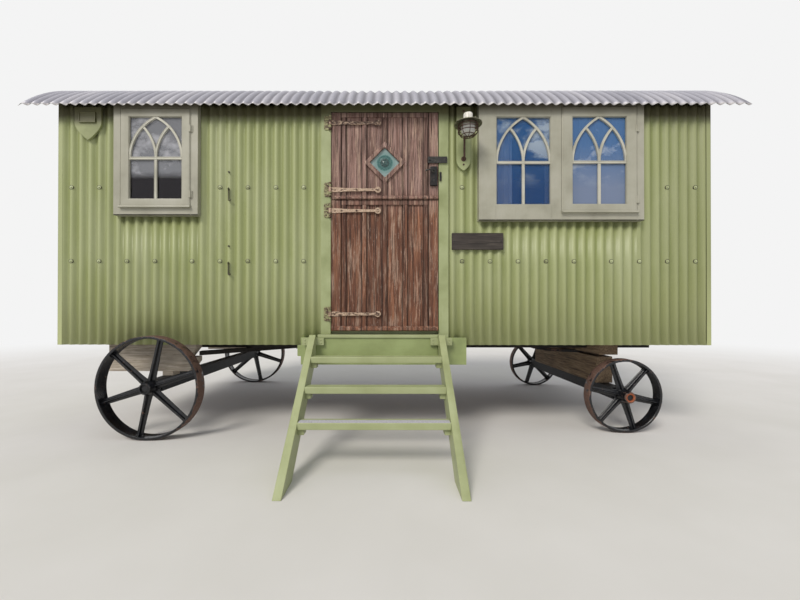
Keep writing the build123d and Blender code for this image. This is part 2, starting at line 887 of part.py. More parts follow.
# Steps
def line_y(z):
    # Front edge of the stringers at that height
    return crest_y - stringer_top_reach - (floor_top - z) / math.tan(slope)


hanger_face = riser_face - hanger_thickness
stringer_x = [(inner_left - stringer_thickness, inner_left), (inner_right, inner_right + stringer_thickness)]
with BuildPart() as step_stringers:
    foot_back = line_y(0) + stringer_width / math.sin(slope)
    back_z = (hanger_face - foot_back) * math.tan(slope)
    for low, high in stringer_x:
        with BuildSketch(Plane.YZ.offset(low)) as side_view:
            with BuildLine():
                Polyline(
                    (hanger_face, floor_top),
                    (line_y(floor_top), floor_top),
                    (line_y(0), 0),
                    (foot_back, 0),
                    (hanger_face, back_z),
                    close=True,
                )
            make_face()
        extrude(side_view.sketch, amount=high - low)
save(step_stringers, "step_stringers")

with BuildPart() as step_treads:
    for top in tread_tops:
        front = line_y(top) - tread_proud
        span((inner_left, inner_right), (front, front + tread_depth), (top - tread_thickness, top))
save(step_treads, "step_treads")

with BuildPart() as step_fixings:
    for top in tread_tops:
        front = line_y(top) + tread_proud
        low = top - tread_thickness - cleat_size[1]
        for x in ((inner_left, inner_left + cleat_size[0]), (inner_right - cleat_size[0], inner_right)):
            span(x, (front, front + tread_depth - 2 * tread_proud), (low, top - tread_thickness))
    hanger_z = (apron_z[1] - hanger_height, apron_z[1])
    for low, high in stringer_x:
        middle = (low + high) / 2
        span((middle - hanger_length / 2, middle + hanger_length / 2), (hanger_face, riser_face), hanger_z)
save(step_fixings, "step_fixings")

# Sign board and shield, both bare
with BuildPart() as sign_board:
    with Locations((sign_x, crest_y - sign_size[1] / 2, sign_z)):
        Box(*sign_size)
save(sign_board, "sign_board")

with BuildPart() as shield_plaque:
    with BuildSketch(Plane.XZ.offset(-crest_y)) as shield:
        with BuildLine():
            left = shield_x - shield_width / 2
            right = shield_x + shield_width / 2
            bulge = 0.36 * shield_width
            belly = shield_tip + 0.4 * (shield_shoulder - shield_tip)
            Polyline((left, shield_shoulder), (left, shield_top), (right, shield_top), (right, shield_shoulder))
            ThreePointArc((right, shield_shoulder), (shield_x + bulge, belly), (shield_x, shield_tip))
            ThreePointArc((shield_x, shield_tip), (shield_x - bulge, belly), (left, shield_shoulder))
        make_face()
    extrude(shield.sketch, amount=shield_thickness)
    with Locations((shield_x, crest_y - shield_thickness - shield_panel[1] / 2, shield_panel_z)):
        Box(*shield_panel)
save(shield_plaque, "shield_plaque")

# Cabin hooks that hold the open leaves
with BuildPart() as door_hooks:
    for height in hook_heights:
        eye_y = crest_y - hook_stand
        with Locations((hook_x, crest_y - hook_stand / 2, height)):
            Box(2 * hook_eye, hook_stand, 2 * hook_eye)
        with BuildSketch(Plane.XY.offset(height - hook_drop)) as rod:
            with Locations((hook_x, eye_y)):
                RegularPolygon(hook_rod, round_sides)
        extrude(rod.sketch, amount=hook_drop)
save(door_hooks, "door_hooks")

# Ship's lamp on a back plate with a pointed foot
def lamp_head():
    # Cap, dished shade and caged jar about Z, with the underside of the shade at height zero
    with BuildPart() as head:
        prism(lamp_cap_radius, lamp_sides, (0, lamp_cap_height))
        prism(lamp_shade_radius, lamp_sides, (0, lamp_shade_rim))
        shade_top = lamp_shade_rim + lamp_shade_rise
        prism(lamp_shade_radius, lamp_sides, (lamp_shade_rim, shade_top), end_radius=lamp_cap_radius)
        prism(lamp_cage_radius, lamp_sides, (-lamp_cage_waist, 0))
        prism(lamp_cage_radius, lamp_sides, (-lamp_cage_waist, -lamp_cage_height), end_radius=lamp_cage_foot)
    return head.part


lamp_y = crest_y - lamp_plate_thickness - lamp_out
plate_face = crest_y - lamp_plate_thickness
with BuildPart() as wall_lamp:
    with BuildSketch(Plane.XZ.offset(-crest_y)) as back_plate:
        with BuildLine():
            left = lamp_x - lamp_plate_width / 2
            right = lamp_x + lamp_plate_width / 2
            belly = (lamp_plate_shoulder + lamp_plate_tip) / 2
            bulge = 0.36 * lamp_plate_width
            Polyline(
                (left, lamp_plate_shoulder),
                (left, lamp_plate_top),
                (right, lamp_plate_top),
                (right, lamp_plate_shoulder),
                (lamp_x + bulge, belly),
                (lamp_x, lamp_plate_tip),
                (lamp_x - bulge, belly),
                close=True,
            )
        make_face()
    extrude(back_plate.sketch, amount=lamp_plate_thickness)
    arm_y = plate_face - lamp_arm_stand
    with BuildLine() as arm_path:
        Polyline(
            (lamp_x, plate_face + 1, lamp_arm_foot),
            (lamp_x, arm_y, lamp_arm_foot),
            (lamp_x, arm_y, lamp_shade_z + lamp_arm_rise),
            (lamp_x, lamp_y, lamp_shade_z + lamp_arm_rise),
        )
    with BuildSketch(Plane.XZ.offset(-plate_face - 1)) as arm_section:
        with Locations((lamp_x, lamp_arm_foot)):
            RegularPolygon(lamp_arm_radius, lamp_arm_sides)
    sweep(arm_section.sketch, path=arm_path.line, transition=Transition.RIGHT)
    with Locations((lamp_x, lamp_y, lamp_shade_z)):
        add(lamp_head())
save(wall_lamp, "wall_lamp")

print("hut centre line at y", round(hut_y, 2), "steps reach", round(steps_reach, 2))
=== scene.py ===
import math
import random

import bmesh
import bpy
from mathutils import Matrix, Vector


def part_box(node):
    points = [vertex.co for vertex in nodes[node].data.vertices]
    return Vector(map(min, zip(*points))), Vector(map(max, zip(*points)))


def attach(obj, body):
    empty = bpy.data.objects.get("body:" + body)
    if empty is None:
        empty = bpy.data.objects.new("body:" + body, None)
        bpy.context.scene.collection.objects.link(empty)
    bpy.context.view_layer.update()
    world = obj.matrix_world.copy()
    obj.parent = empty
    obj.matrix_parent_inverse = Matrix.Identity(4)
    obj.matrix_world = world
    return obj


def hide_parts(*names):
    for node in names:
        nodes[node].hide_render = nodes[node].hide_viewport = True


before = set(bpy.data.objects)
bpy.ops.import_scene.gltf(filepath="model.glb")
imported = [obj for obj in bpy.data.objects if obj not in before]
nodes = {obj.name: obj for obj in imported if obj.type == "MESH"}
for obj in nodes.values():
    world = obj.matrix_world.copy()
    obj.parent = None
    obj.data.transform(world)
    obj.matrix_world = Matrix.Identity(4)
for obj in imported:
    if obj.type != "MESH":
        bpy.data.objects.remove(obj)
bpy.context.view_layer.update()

mm = 0.001
roofRadius = 1550        # over the roof sheets, in millimetres
print("frame loaded:", len(nodes), "nodes")


# Small helpers: all shapes are drawn in millimetres and scaled once, in addPiece

def linear(hexColour):
    channels = [int(hexColour[i:i + 2], 16) / 255 for i in (1, 3, 5)]
    return [c / 12.92 if c <= 0.04045 else ((c + 0.055) / 1.055) ** 2.4 for c in channels] + [1.0]


def addNode(tree, kind, links=None, stops=None, **settings):
    # One shader node with its settings. A link is a number, a hex colour, an output, or a node
    # whose first output is meant; stops are places and colours along a ramp.
    node = tree.nodes.new("ShaderNode" + kind)
    for name, value in settings.items():
        setattr(node, name, value)
    for socket, value in (links or {}).items():
        if isinstance(value, bpy.types.Node):
            value = value.outputs[0]
        if isinstance(value, bpy.types.NodeSocket):
            tree.links.new(value, node.inputs[socket])
        else:
            node.inputs[socket].default_value = linear(value) if isinstance(value, str) else value
    for n, (place, colour) in enumerate(stops or ()):
        elements = node.color_ramp.elements
        stop = elements[n] if n < 2 else elements.new(place)
        stop.position = place
        stop.color = linear(colour) if isinstance(colour, str) else (colour, colour, colour, 1)
    return node


def boxMm(node):
    low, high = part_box(node)
    return [v / mm for v in low], [v / mm for v in high]


def turns(count, start=0.0):
    # Equal angles round a circle
    return [2 * math.pi * (k + start) / count for k in range(count)]


def arcPoints(centre, radius, start, end, count):
    angles = [math.radians(start + (end - start) * k / count) for k in range(count + 1)]
    return [(centre[0] + radius * math.cos(t), centre[1] + radius * math.sin(t)) for t in angles]


def cornersOf(xs, zs):
    # The four corners of an upright rectangle, going round so that its inside is on the left
    return [(xs[0], zs[0]), (xs[1], zs[0]), (xs[1], zs[1]), (xs[0], zs[1])]


def newShape():
    shape = bmesh.new()
    shape.verts.layers.float.new("shade")
    return shape


def addVertex(shape, place, shade=0.5):
    # shade tells the finishes how high, worn or rusty the surface is here
    vertex = shape.verts.new(place)
    vertex[shape.verts.layers.float["shade"]] = shade
    return vertex


def skinGrid(shape, grid, closedPath=False, closedRing=False, keep=None):
    # Faces between rows of vertices; keep says which of them stay
    count = len(grid[0])
    for n in range(len(grid) if closedPath else len(grid) - 1):
        here, there = grid[n], grid[(n + 1) % len(grid)]
        for k in range(count if closedRing else count - 1):
            m = (k + 1) % count
            if keep is None or keep(here[k].co, there[m].co):
                shape.faces.new((here[k], here[m], there[m], there[k]))
    if keep:
        bmesh.ops.delete(shape, geom=[v for v in shape.verts if not v.link_faces], context="VERTS")


def addBlock(shape, low, high, shade=0.5):
    corners = [addVertex(shape, (x, y, z), shade) for x in (low[0], high[0])
               for y in (low[1], high[1]) for z in (low[2], high[2])]
    for loop in ((0, 1, 3, 2), (4, 6, 7, 5), (0, 4, 5, 1), (2, 3, 7, 6), (0, 2, 6, 4), (1, 5, 7, 3)):
        shape.faces.new([corners[i] for i in loop])


def addRings(shape, rings, closed=False, shade=0.5):
    # Skins a row of rings of points; shade is one for all of them, or a list with one for each
    shades = shade if isinstance(shade, list) else [shade] * len(rings)
    made = [[addVertex(shape, p, tone) for p in ring] for ring, tone in zip(rings, shades)]
    skinGrid(shape, made, closed, True)
    if not closed:
        shape.faces.new(made[0][::-1])
        shape.faces.new(made[-1])


def addTurned(shape, profile, centre, axis=(0, 0, 1), sides=48, shade=0.5, closed=False):
    # profile is a row of (radius, place along the axis)
    axis, centre = Vector(axis), Vector(centre)
    across = axis.orthogonal().normalized()
    other = axis.cross(across)
    rings = [[centre + axis * along + radius * (across * math.cos(t) + other * math.sin(t))
              for t in turns(sides)] for radius, along in profile]
    addRings(shape, rings, closed, shade)


def addRod(shape, path, radius, sides=10, closed=False, shade=0.5):
    # A round bar bent along a path
    points = [Vector(p) for p in path]
    rings = []
    side = None
    for n, point in enumerate(points):
        if closed:
            way = points[(n + 1) % len(points)] - points[n - 1]
        else:
            way = points[min(n + 1, len(points) - 1)] - points[max(n - 1, 0)]
        way.normalize()
        side = way.orthogonal() if side is None else side - way * side.dot(way)
        side.normalize()
        other = way.cross(side)
        rings.append([point + radius * (side * math.cos(t) + other * math.sin(t)) for t in turns(sides)])
    addRings(shape, rings, closed, shade)


def addMoulding(shape, path, section, y, closed=False, shade=0.5):
    # Runs a section along a path of (x, z) in the wall's plane, mitred at the corners.
    # In the section, u is across the path, to its left, and v stands out of the wall.
    points = [Vector(p) for p in path]
    count = len(points)
    rings = []
    for n, point in enumerate(points):
        before = points[n] - points[n - 1] if closed or n else points[1] - points[0]
        after = points[(n + 1) % count] - points[n] if closed or n < count - 1 else before
        normals = [Vector((-d.y, d.x)).normalized() for d in (before, after)]
        mitre = (normals[0] + normals[1]).normalized()
        mitre /= max(mitre.dot(normals[0]), 0.3)
        rings.append([(point.x + mitre.x * u, y - v, point.y + mitre.y * u) for u, v in section])
    addRings(shape, rings, closed, shade)


def addPlate(shape, outline, y, thickness, shade=0.5):
    # A flat plate with an outline of (x, z), standing out of the wall
    addRings(shape, [[(x, at, z) for x, z in outline] for at in (y, y - thickness)], shade=shade)


def addHead(shape, x, y, z, radius, height, shade=0.5):
    # A domed bolt or screw head on the front
    profile = [(radius, 0), (radius, height * 0.3), (radius * 0.75, height * 0.8), (radius * 0.25, height)]
    addTurned(shape, profile, (x, y, z), (0, -1, 0), 14, shade)


def addBevel(piece, width, steps=2):
    bevel = piece.modifiers.new("arris", "BEVEL")
    bevel.width = width * mm
    bevel.segments = steps
    bevel.limit_method = "ANGLE"
    bevel.angle_limit = math.radians(30)
    bevel.harden_normals = False


def addGauge(piece, thickness, offset=0):
    # Gives a sheet its thickness
    gauge = piece.modifiers.new("gauge", "SOLIDIFY")
    gauge.thickness = thickness * mm
    gauge.offset = offset


def addPiece(name, shape, material, body="hut", stands=None, bevel=0, steps=2, smooth=35):
    # Turns a shape into an object: bevel is its arris, and stands the CAD node it replaces
    bmesh.ops.recalc_face_normals(shape, faces=shape.faces)
    mesh = bpy.data.meshes.new(name)
    for vertex in shape.verts:
        vertex.co *= mm
    shape.to_mesh(mesh)
    shape.free()
    piece = bpy.data.objects.new(name, mesh)
    bpy.context.scene.collection.objects.link(piece)
    mesh.materials.append(material)
    mesh.shade_smooth()
    mesh.set_sharp_from_angle(angle=math.radians(smooth))
    if bevel:
        addBevel(piece, bevel, steps)
    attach(piece, body)
    if stands:
        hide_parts(stands)
    return piece


def finishNode(name, material, bevel=0):
    # A CAD piece that keeps its shape gets its finish, and an eased arris
    piece = nodes[name]
    piece.data.materials.clear()
    piece.data.materials.append(material)
    if bevel:
        weld = piece.modifiers.new("weld", "WELD")
        weld.merge_threshold = 0.05 * mm
        addBevel(piece, bevel)


# Materials: the size of every pattern is given in millimetres, along x, y and z

def startMaterial(name, **values):
    material = bpy.data.materials.new(name)
    material.use_nodes = True
    for socket, value in values.items():
        material.node_tree.nodes["Principled BSDF"].inputs[socket.replace("_", " ")].default_value = value
    return material, material.node_tree


def patches(tree, size, stops, detail=4, rough=0.55, warp=0.0, place=None):
    # Cloudy patches of a real size, coloured by stops
    place = place or addNode(tree, "TexCoord").outputs["Object"]
    scaled = addNode(tree, "Mapping", {"Vector": place, "Scale": [1 / (s * mm) for s in size]})
    cloud = addNode(tree, "TexNoise", {"Vector": scaled, "Scale": 1, "Detail": detail, "Roughness": rough,
                                       "Distortion": warp})
    return addNode(tree, "ValToRGB", {"Fac": cloud.outputs["Fac"]}, stops).outputs["Color"]


def layOver(tree, under, over, mask, amount=1.0):
    # Lays one colour over another where a mask shows
    share = addNode(tree, "Math", {0: mask, 1: amount}, operation="MULTIPLY")
    return addNode(tree, "Mix", {0: share, 6: under, 7: over}, data_type="RGBA").outputs[2]


def stain(tree, under, over, amount, size, stops, **more):
    # Lays one colour over another in such patches
    return layOver(tree, under, over, patches(tree, size, stops, **more), amount)


def band(tree, axis, none, full):
    # 0 at one place along an axis and 1 at another
    place = addNode(tree, "TexCoord").outputs["Object"]
    along = addNode(tree, "SeparateXYZ", {"Vector": place}).outputs[axis]
    return addNode(tree, "MapRange", {"Value": along, "From Min": none * mm, "From Max": full * mm})


def underRoof(tree, none, full):
    # The same by the distance from the roof's axis, which follows the roof's curve on the end walls.
    # The last step leaves only the distance across for what lies below the axis.
    low, high = boxMm("roof_sheet")
    axis = (0, (low[1] + high[1]) / 2 * mm, (high[2] - roofRadius) * mm)
    out = addNode(tree, "TexCoord").outputs["Object"]
    for step, by in (("SUBTRACT", axis), ("MULTIPLY", (0.0, 1.0, 1.0)), ("MAXIMUM", (0.0, -9.0, 0.0))):
        out = addNode(tree, "VectorMath", {0: out, 1: by}, operation=step).outputs["Vector"]
    far = addNode(tree, "VectorMath", {0: out}, operation="LENGTH").outputs["Value"]
    return addNode(tree, "MapRange", {"Value": far, "From Min": none * mm, "From Max": full * mm})


def dress(material, colour, relief, depth, strength=0.5, roughness=None):
    # Puts the colour, and the relief with its depth in millimetres, on the shader
    tree = material.node_tree
    shader = tree.nodes["Principled BSDF"]
    bump = addNode(tree, "Bump", {"Height": relief, "Distance": depth * mm, "Strength": strength})
    tree.links.new(bump.outputs[0], shader.inputs["Normal"])
    tree.links.new(colour, shader.inputs["Base Color"])
    if roughness:
        tree.links.new(roughness, shader.inputs["Roughness"])
    return material


# Satin enamel brushed on galvanised sheet: soft sheen, chalky crests, painted shade down the troughs, and
# streaks of grime
def makeSheetPaint():
    material, tree = startMaterial("satinEnamelOnIron", Roughness=0.46, IOR=1.5)
    crest = addNode(tree, "Attribute", attribute_name="shade").outputs["Fac"]
    # the crest value darkens the troughs and pales the crests: painted shade in the troughs, chalky paint on
    # the crests
    paint = addNode(tree, "ValToRGB", {"Fac": crest}, [(0.0, "#828a55"), (1.0, "#9ea574")]).outputs[0]
    # chalk, streaks where rain runs, and dirt in spots
    paint = stain(tree, paint, "#adb190", 0.45, (310, 310, 900), [(0.42, 0.0), (0.72, 1.0)], detail=5)
    paint = stain(tree, paint, "#6c7248", 0.3, (38, 38, 1300), [(0.5, 0.0), (0.78, 1.0)], detail=3)
    paint = stain(tree, paint, "#5d5138", 0.4, (16, 16, 30), [(0.68, 0.0), (0.73, 1.0)], detail=6, rough=0.7)
    # darker towards the right end of the walls: painted shade
    paint = layOver(tree, paint, "#6f7148", band(tree, "X", 1900, 2500), 0.32)
    # paler towards the foot: painted light
    paint = layOver(tree, paint, "#bac088", band(tree, "Z", 1350, 760), 0.5)
    # dark under the eave: painted shade
    paint = layOver(tree, paint, "#352c1b", underRoof(tree, 1388, 1438), 0.85)
    # bristles mark 0.3 mm, drawn coarser so that they show
    bristle = patches(tree, (1.1, 1.1, 60), [(0, 0.0), (1, 1.0)], detail=2)
    return dress(material, paint, bristle, 0.5, 0.35)


# Hot-dip galvanised sheet left bare: grey with a lavender bloom, and painted shade in the troughs
def makeZinc():
    material, tree = startMaterial("weatheredGalvanising", Roughness=0.5, Metallic=0.35)
    crest = addNode(tree, "Attribute", attribute_name="shade").outputs["Fac"]
    greys = [(0.3, "#93929d"), (0.55, "#aaa9b2"), (0.75, "#c2c0c6")]
    colour = patches(tree, (200, 800, 800), greys, detail=6)
    # crystals of 5 mm, drawn coarser so that they show
    spangle = patches(tree, (14, 14, 14), [(0.35, 0.0), (0.65, 1.0)], detail=1)
    colour = layOver(tree, colour, "#c9c8d0", spangle, 0.16)
    # darker towards the bottom of each trough: painted shade
    troughShade = addNode(tree, "Math", {0: 1.0, 1: crest}, operation="SUBTRACT")
    troughShade = addNode(tree, "Math", {0: troughShade, 1: 1.6}, operation="POWER")
    colour = layOver(tree, colour, "#4f4c55", troughShade, 0.72)
    colour = layOver(tree, colour, "#cbc6bd", band(tree, "Z", 2668, 2652), 0.4)  # scoured along the lip
    dull = patches(tree, (200, 800, 800), [(0.3, 0.42), (0.8, 0.62)], detail=6)
    return dress(material, colour, spangle, 0.4, 0.25, dull)


# Oil paint brushed on softwood: low gloss, faint grain and bristle marks along the board.
# its last argument: distances from the roof's axis where painted shade under the eave begins and is full.
def makeJoineryPaint(name, tones, worn, axis=2, wear=0.3, eaveShade=(1402, 1455)):
    material, tree = startMaterial(name, Roughness=0.42, IOR=1.48)
    light, mid, dark = tones
    along, rubbed = [7, 7, 7], [21, 21, 21]
    along[axis] = 130
    rubbed[axis] = 180
    paint = patches(tree, (220, 220, 220), [(0.3, dark), (0.5, mid), (0.72, light)])
    paint = stain(tree, paint, worn, wear, rubbed, [(0.66, 0.0), (0.74, 1.0)], detail=8, rough=0.7)
    grain = patches(tree, along, [(0.3, 0.0), (0.7, 1.0)], warp=0.4)
    paint = layOver(tree, paint, dark, grain, 0.16)
    # painted shade under the eave
    if eaveShade:
        paint = layOver(tree, paint, "#3f3723", underRoof(tree, *eaveShade), 0.78)
    return dress(material, paint, grain, 0.8, 0.35)


# Old oiled hardwood boards bleached by the sun: open grain, pale worn streaks, dark checks.
# Each board is cut from other timber, so its shade shifts the grain, by metres.
def makeDoorWood():
    material, tree = startMaterial("weatheredHardwood", Roughness=0.74, IOR=1.45)
    board = addNode(tree, "Attribute", attribute_name="shade").outputs["Fac"]
    here = addNode(tree, "TexCoord").outputs["Object"]
    shift = addNode(tree, "VectorMath", {0: board, 1: (7.0, 0.0, 3.0)}, operation="MULTIPLY")
    place = addNode(tree, "VectorMath", {0: here, 1: shift}, operation="ADD").outputs[0]
    rich, pale = [
        patches(tree, (24, 24, 620), list(zip((0.3, 0.5, 0.7), tones)), 4, 0.6, 0.5, place)
        for tones in (("#4b2b1c", "#734935", "#9b6b4f"), ("#64483f", "#8d6e64", "#b09288"))]
    wood = layOver(tree, pale, rich, band(tree, "Z", 2020, 1780))
    bleached = patches(tree, (32, 32, 300), [(0.5, 0.0), (0.6, 1.0)], 8, 0.75, 0.15, place)
    wood = layOver(tree, wood, "#bda18c", bleached, 0.6)
    pore = patches(tree, (4.5, 4.5, 260), [(0.41, 1.0), (0.5, 0.0)], 5, 0.62, 0.15, place)
    wood = layOver(tree, wood, "#2e1d15", pore, 0.82)
    fleck = patches(tree, (11, 11, 60), [(0.6, 0.0), (0.68, 1.0)], 6, 0.75, 0.0, place)
    wood = layOver(tree, wood, "#cbb9a9", fleck, 0.55)
    # painted shade lies beside each cover batten: its distance is measured from the battens' pitch
    half = door["battenPitch"] / 2 * mm
    along = addNode(tree, "SeparateXYZ", {"Vector": here}).outputs["X"]
    for step, by in (("SUBTRACT", door["centre"] * mm), ("PINGPONG", half), ("DIVIDE", half)):
        along = addNode(tree, "Math", {0: along, 1: by}, operation=step).outputs[0]
    battenShade = addNode(tree, "ValToRGB", {"Fac": along}, [(0.0, 0.0), (0.19, 0.0), (0.215, 1.0), (0.4, 0.0)])
    wood = layOver(tree, wood, "#1c100b", battenShade, 0.86)
    dark = addNode(tree, "MapRange", {"Value": board, "From Min": 0.75, "From Max": 0.1})
    wood = layOver(tree, wood, "#33201a", dark, 0.7)
    # painted shade along the door's head, under the eave
    wood = layOver(tree, wood, "#2c1e15", band(tree, "Z", 2590, 2640), 0.6)
    return dress(material, wood, pore, -1.6, 0.7)


# Sawn timber left to weather: silver grey, brown in the checks
def makeTimber(name, dark, mid, light, axis=0, roughness=0.82, depth=1.5):
    material, tree = startMaterial(name, Roughness=roughness, IOR=1.45)
    along, check = [9, 9, 9], [9, 9, 9]
    along[axis] = 180
    check[axis] = 420
    grain = patches(tree, along, [(0.34, dark), (0.52, mid), (0.7, light)], 5, 0.62, 0.4)
    wood = stain(tree, grain, dark, 0.4, (170, 170, 170), [(0.35, 0.0), (0.7, 1.0)])
    wood = stain(tree, wood, "#1d1712", 0.7, check, [(0.3, 1.0), (0.37, 0.0)], detail=3, rough=0.5, warp=0.2)
    return dress(material, wood, grain, depth, 0.6)


# Sand-cast iron under old bitumen paint: blue-black gloss, and red rust where shade is high
def makeCastIron(name, rust, gloss=0.24, tones=("#42302a", "#64493d", "#7f6d62")):
    material, tree = startMaterial(name, Roughness=gloss, IOR=1.5)
    bare = addNode(tree, "Attribute", attribute_name="shade").outputs["Fac"]
    sand = patches(tree, (4, 4, 4), [(0.2, 0.0), (0.8, 1.0)], detail=3)
    paint = patches(tree, (60, 60, 60), [(0.3, "#0b0c0e"), (0.55, "#15161a"), (0.75, "#26282e")], 6, 0.62)
    cloud = patches(tree, (55, 55, 55), [(0, 0.0), (1, 1.0)], 8, 0.72)
    spread = addNode(tree, "Math", {0: bare, 1: 0.26, 2: cloud}, operation="MULTIPLY_ADD")
    spread = addNode(tree, "Math", {0: spread, 1: rust}, operation="ADD")
    worn = addNode(tree, "ValToRGB", {"Fac": spread}, [(0.64, 0.0), (0.72, 1.0)]).outputs[0]
    scale = patches(tree, (13, 13, 13), list(zip((0.3, 0.52, 0.75), tones)), 6, 0.7)
    dull = addNode(tree, "ValToRGB", {"Fac": worn}, [(0.0, gloss), (1.0, 0.85)]).outputs[0]
    return dress(material, layOver(tree, paint, scale, worn), sand, 0.8, 0.4, dull)


# Wrought strap iron: old paint flaking off brown rust, with more paint left where shade is high
def makeHingeIron(name, tones):
    material, tree = startMaterial(name, Roughness=0.66, IOR=1.48)
    each = addNode(tree, "Attribute", attribute_name="shade").outputs["Fac"]
    cloud = patches(tree, (34, 34, 14), [(0, 0.0), (1, 1.0)], 7, 0.72)
    spread = addNode(tree, "Math", {0: each, 1: 0.2, 2: cloud}, operation="MULTIPLY_ADD")
    left = addNode(tree, "ValToRGB", {"Fac": spread}, [(0.56, 0.0), (0.63, 1.0)]).outputs[0]
    paint = patches(tree, (9, 9, 5), list(zip((0.3, 0.55, 0.78), tones)), 5)
    rust = patches(tree, (8, 8, 5), [(0.3, "#241a16"), (0.55, "#4a342a"), (0.75, "#7a5a46")], 5)
    return dress(material, layOver(tree, rust, paint, left), left, 0.5, 0.6)


# Pressed steel gone dull: dark japan or bare grey, browner where the hand rubs it
def makeLockIron(name, base, rubbed):
    material, tree = startMaterial(name, Roughness=0.38, Metallic=0.3)
    colour = stain(tree, base, rubbed, 0.75, (24, 24, 24), [(0.48, 0.0), (0.68, 1.0)], detail=6, rough=0.65)
    pitted = patches(tree, (3, 3, 3), [(0.3, 0.0), (0.7, 1.0)], 3)
    return dress(material, colour, pitted, 0.4, 0.4)


# Spun and cast brass gone pewter-brown, with green in the folds
def makeLampBrass():
    material, tree = startMaterial("tarnishedBrass", Metallic=0.7, Roughness=0.45)
    colour = patches(tree, (26, 26, 26), [(0.3, "#59564a"), (0.5, "#7b7868"), (0.68, "#a8a594")], 7, 0.68)
    green = patches(tree, (7, 7, 7), [(0.58, 0.0), (0.7, 1.0)], 4)
    colour = layOver(tree, colour, "#7d8a73", green, 0.4)
    dull = patches(tree, (26, 26, 26), [(0.3, 0.6), (0.7, 0.34)], 7, 0.68)
    return dress(material, colour, green, 0.4, 0.3, dull)


# Drawn sheet glass, slightly wavy: painted reflection of the sky at its head, and painted shade below.
# edge gives the heights between which the painted reflection comes in.
def makeWindowGlass(name, low, high, cloud, cover, edge=(2000, 2360)):
    material, tree = startMaterial(name, Roughness=0.05, IOR=1.52, Alpha=cover)
    upper = patches(tree, (300, 300, 190), [(0.42, high), (0.52, high), (0.62, cloud)], 6, 0.6)
    ripple = patches(tree, (160, 160, 500), [(0.2, 0.0), (0.8, 1.0)], 1)
    return dress(material, layOver(tree, low, upper, band(tree, "Z", *edge)), ripple, 0.6, 0.2)


# Spun crown glass, sea green: rings round the bullion, thick and cloudy
def makeCrownGlass():
    material, tree = startMaterial("spunCrownGlass", Roughness=0.14, IOR=1.52, Coat_Weight=0.2)
    ring = addNode(tree, "Attribute", attribute_name="shade").outputs["Fac"]
    greens = [(0.0, "#8a9f9d"), (0.14, "#3c6d69"), (0.4, "#0f403d"), (1.0, "#031d1c")]
    tint = addNode(tree, "ValToRGB", {"Fac": ring}, greens).outputs[0]
    seed = patches(tree, (12, 12, 12), [(0.45, 0.0), (0.75, 1.0)])
    return dress(material, layOver(tree, tint, "#93aaa5", seed, 0.25), seed, 0.8, 0.4)


# Small things: their colour in patches, and their relief in others, each with size, stops and detail
def makeSmallFinish(name, colour, relief, depth, strength, **values):
    material, tree = startMaterial(name, **values)
    return dress(material, patches(tree, *colour), patches(tree, *relief), depth, strength)


# Woven cotton, plain weave of 0.5 mm threads, drawn at 3 mm so that it shows
def makeCloth(name, light, dark):
    material, tree = startMaterial(name, Roughness=0.9, Sheen_Weight=0.2, IOR=1.45)
    perMetre = 1 / (3 * mm)
    place = addNode(tree, "TexCoord").outputs["Object"]
    wave = {"Vector": place, "Scale": math.pi / 10 * perMetre, "Distortion": 0.8}
    warp, weft = [addNode(tree, "TexWave", wave, bands_direction=way).outputs["Fac"] for way in "XZ"]
    weave = addNode(tree, "Math", {0: warp, 1: weft}, operation="MULTIPLY").outputs[0]
    faded = patches(tree, (260, 260, 900), [(0.35, dark), (0.65, light)])
    return dress(material, layOver(tree, faded, dark, weave, 0.35), weave, 0.4, 0.3)


random.seed(7)
sheetPaint = makeSheetPaint()
zinc = makeZinc()

# Joinery, each with its light, middle and dark paint, what shows where it is worn, and its painted eave
# shade
postPaint = makeJoineryPaint("oilPaintOnPosts", ("#a5ad82", "#98a073", "#858d5f"), "#7b7654")
stepPaint = makeJoineryPaint("oilPaintOnTreads", ("#a7ae86", "#9fa67b", "#959c70"), "#84806a",
                             axis=0, wear=0.08, eaveShade=None)
stringerPaint = makeJoineryPaint("oilPaintOnStringers", ("#a9b086", "#a0a77b", "#8f966a"), "#7b7654",
                                 wear=0.15, eaveShade=None)
# the bars get a paler copy of the sash paint: painted light on them
litBarPaint = makeJoineryPaint("oilPaintOnBarsWithPaintedLight", ("#c9c7ba", "#bcbaac", "#a6a495"), "#8c8877",
                            wear=0.2, eaveShade=(1455, 1508))
windowPaint = makeJoineryPaint("oilPaintOnSashes", ("#aba99b", "#a19f8f", "#918f7f"), "#7f7a68",
                               wear=0.2, eaveShade=(1455, 1508))
hookPaint = makeJoineryPaint("chippedPaintOnHooks", ("#575838", "#3d3a26", "#2a2319"), "#2a211a", wear=0.8)
boltPaint = makeJoineryPaint("paintOverBoltHeads", ("#bcc39a", "#aeb58a", "#7c8058"), "#5b5138", wear=0.35)
# the apron gets a darker copy of the post paint: painted shade
shadedApronPaint = makeJoineryPaint("oilPaintOnApronWithPaintedShade", ("#9ba872", "#909c67", "#828d5b"), "#7b7654",
                              axis=0, wear=0.12, eaveShade=None)
shieldPaint = makeJoineryPaint("oldPaintOnShield", ("#a0a678", "#91976b", "#747951"), "#5c5239",
                               wear=0.5, eaveShade=(1385, 1425))

# Timber with its dark, middle and light tones
greyTimber = makeTimber("weatheredSawnTimber", "#857a6c", "#b9ae9e", "#d8cfc2")
crossTimber = makeTimber("weatheredOakBeam", "#5a4938", "#8d785f", "#ae9a80", axis=1)
darkTimber = makeTimber("tarredTimber", "#110e0c", "#1f1a17", "#322b25", roughness=0.7)
innerWood = makeTimber("planedPineLining", "#6e5238", "#8a6a4a", "#a18260", roughness=0.7, depth=0.5)
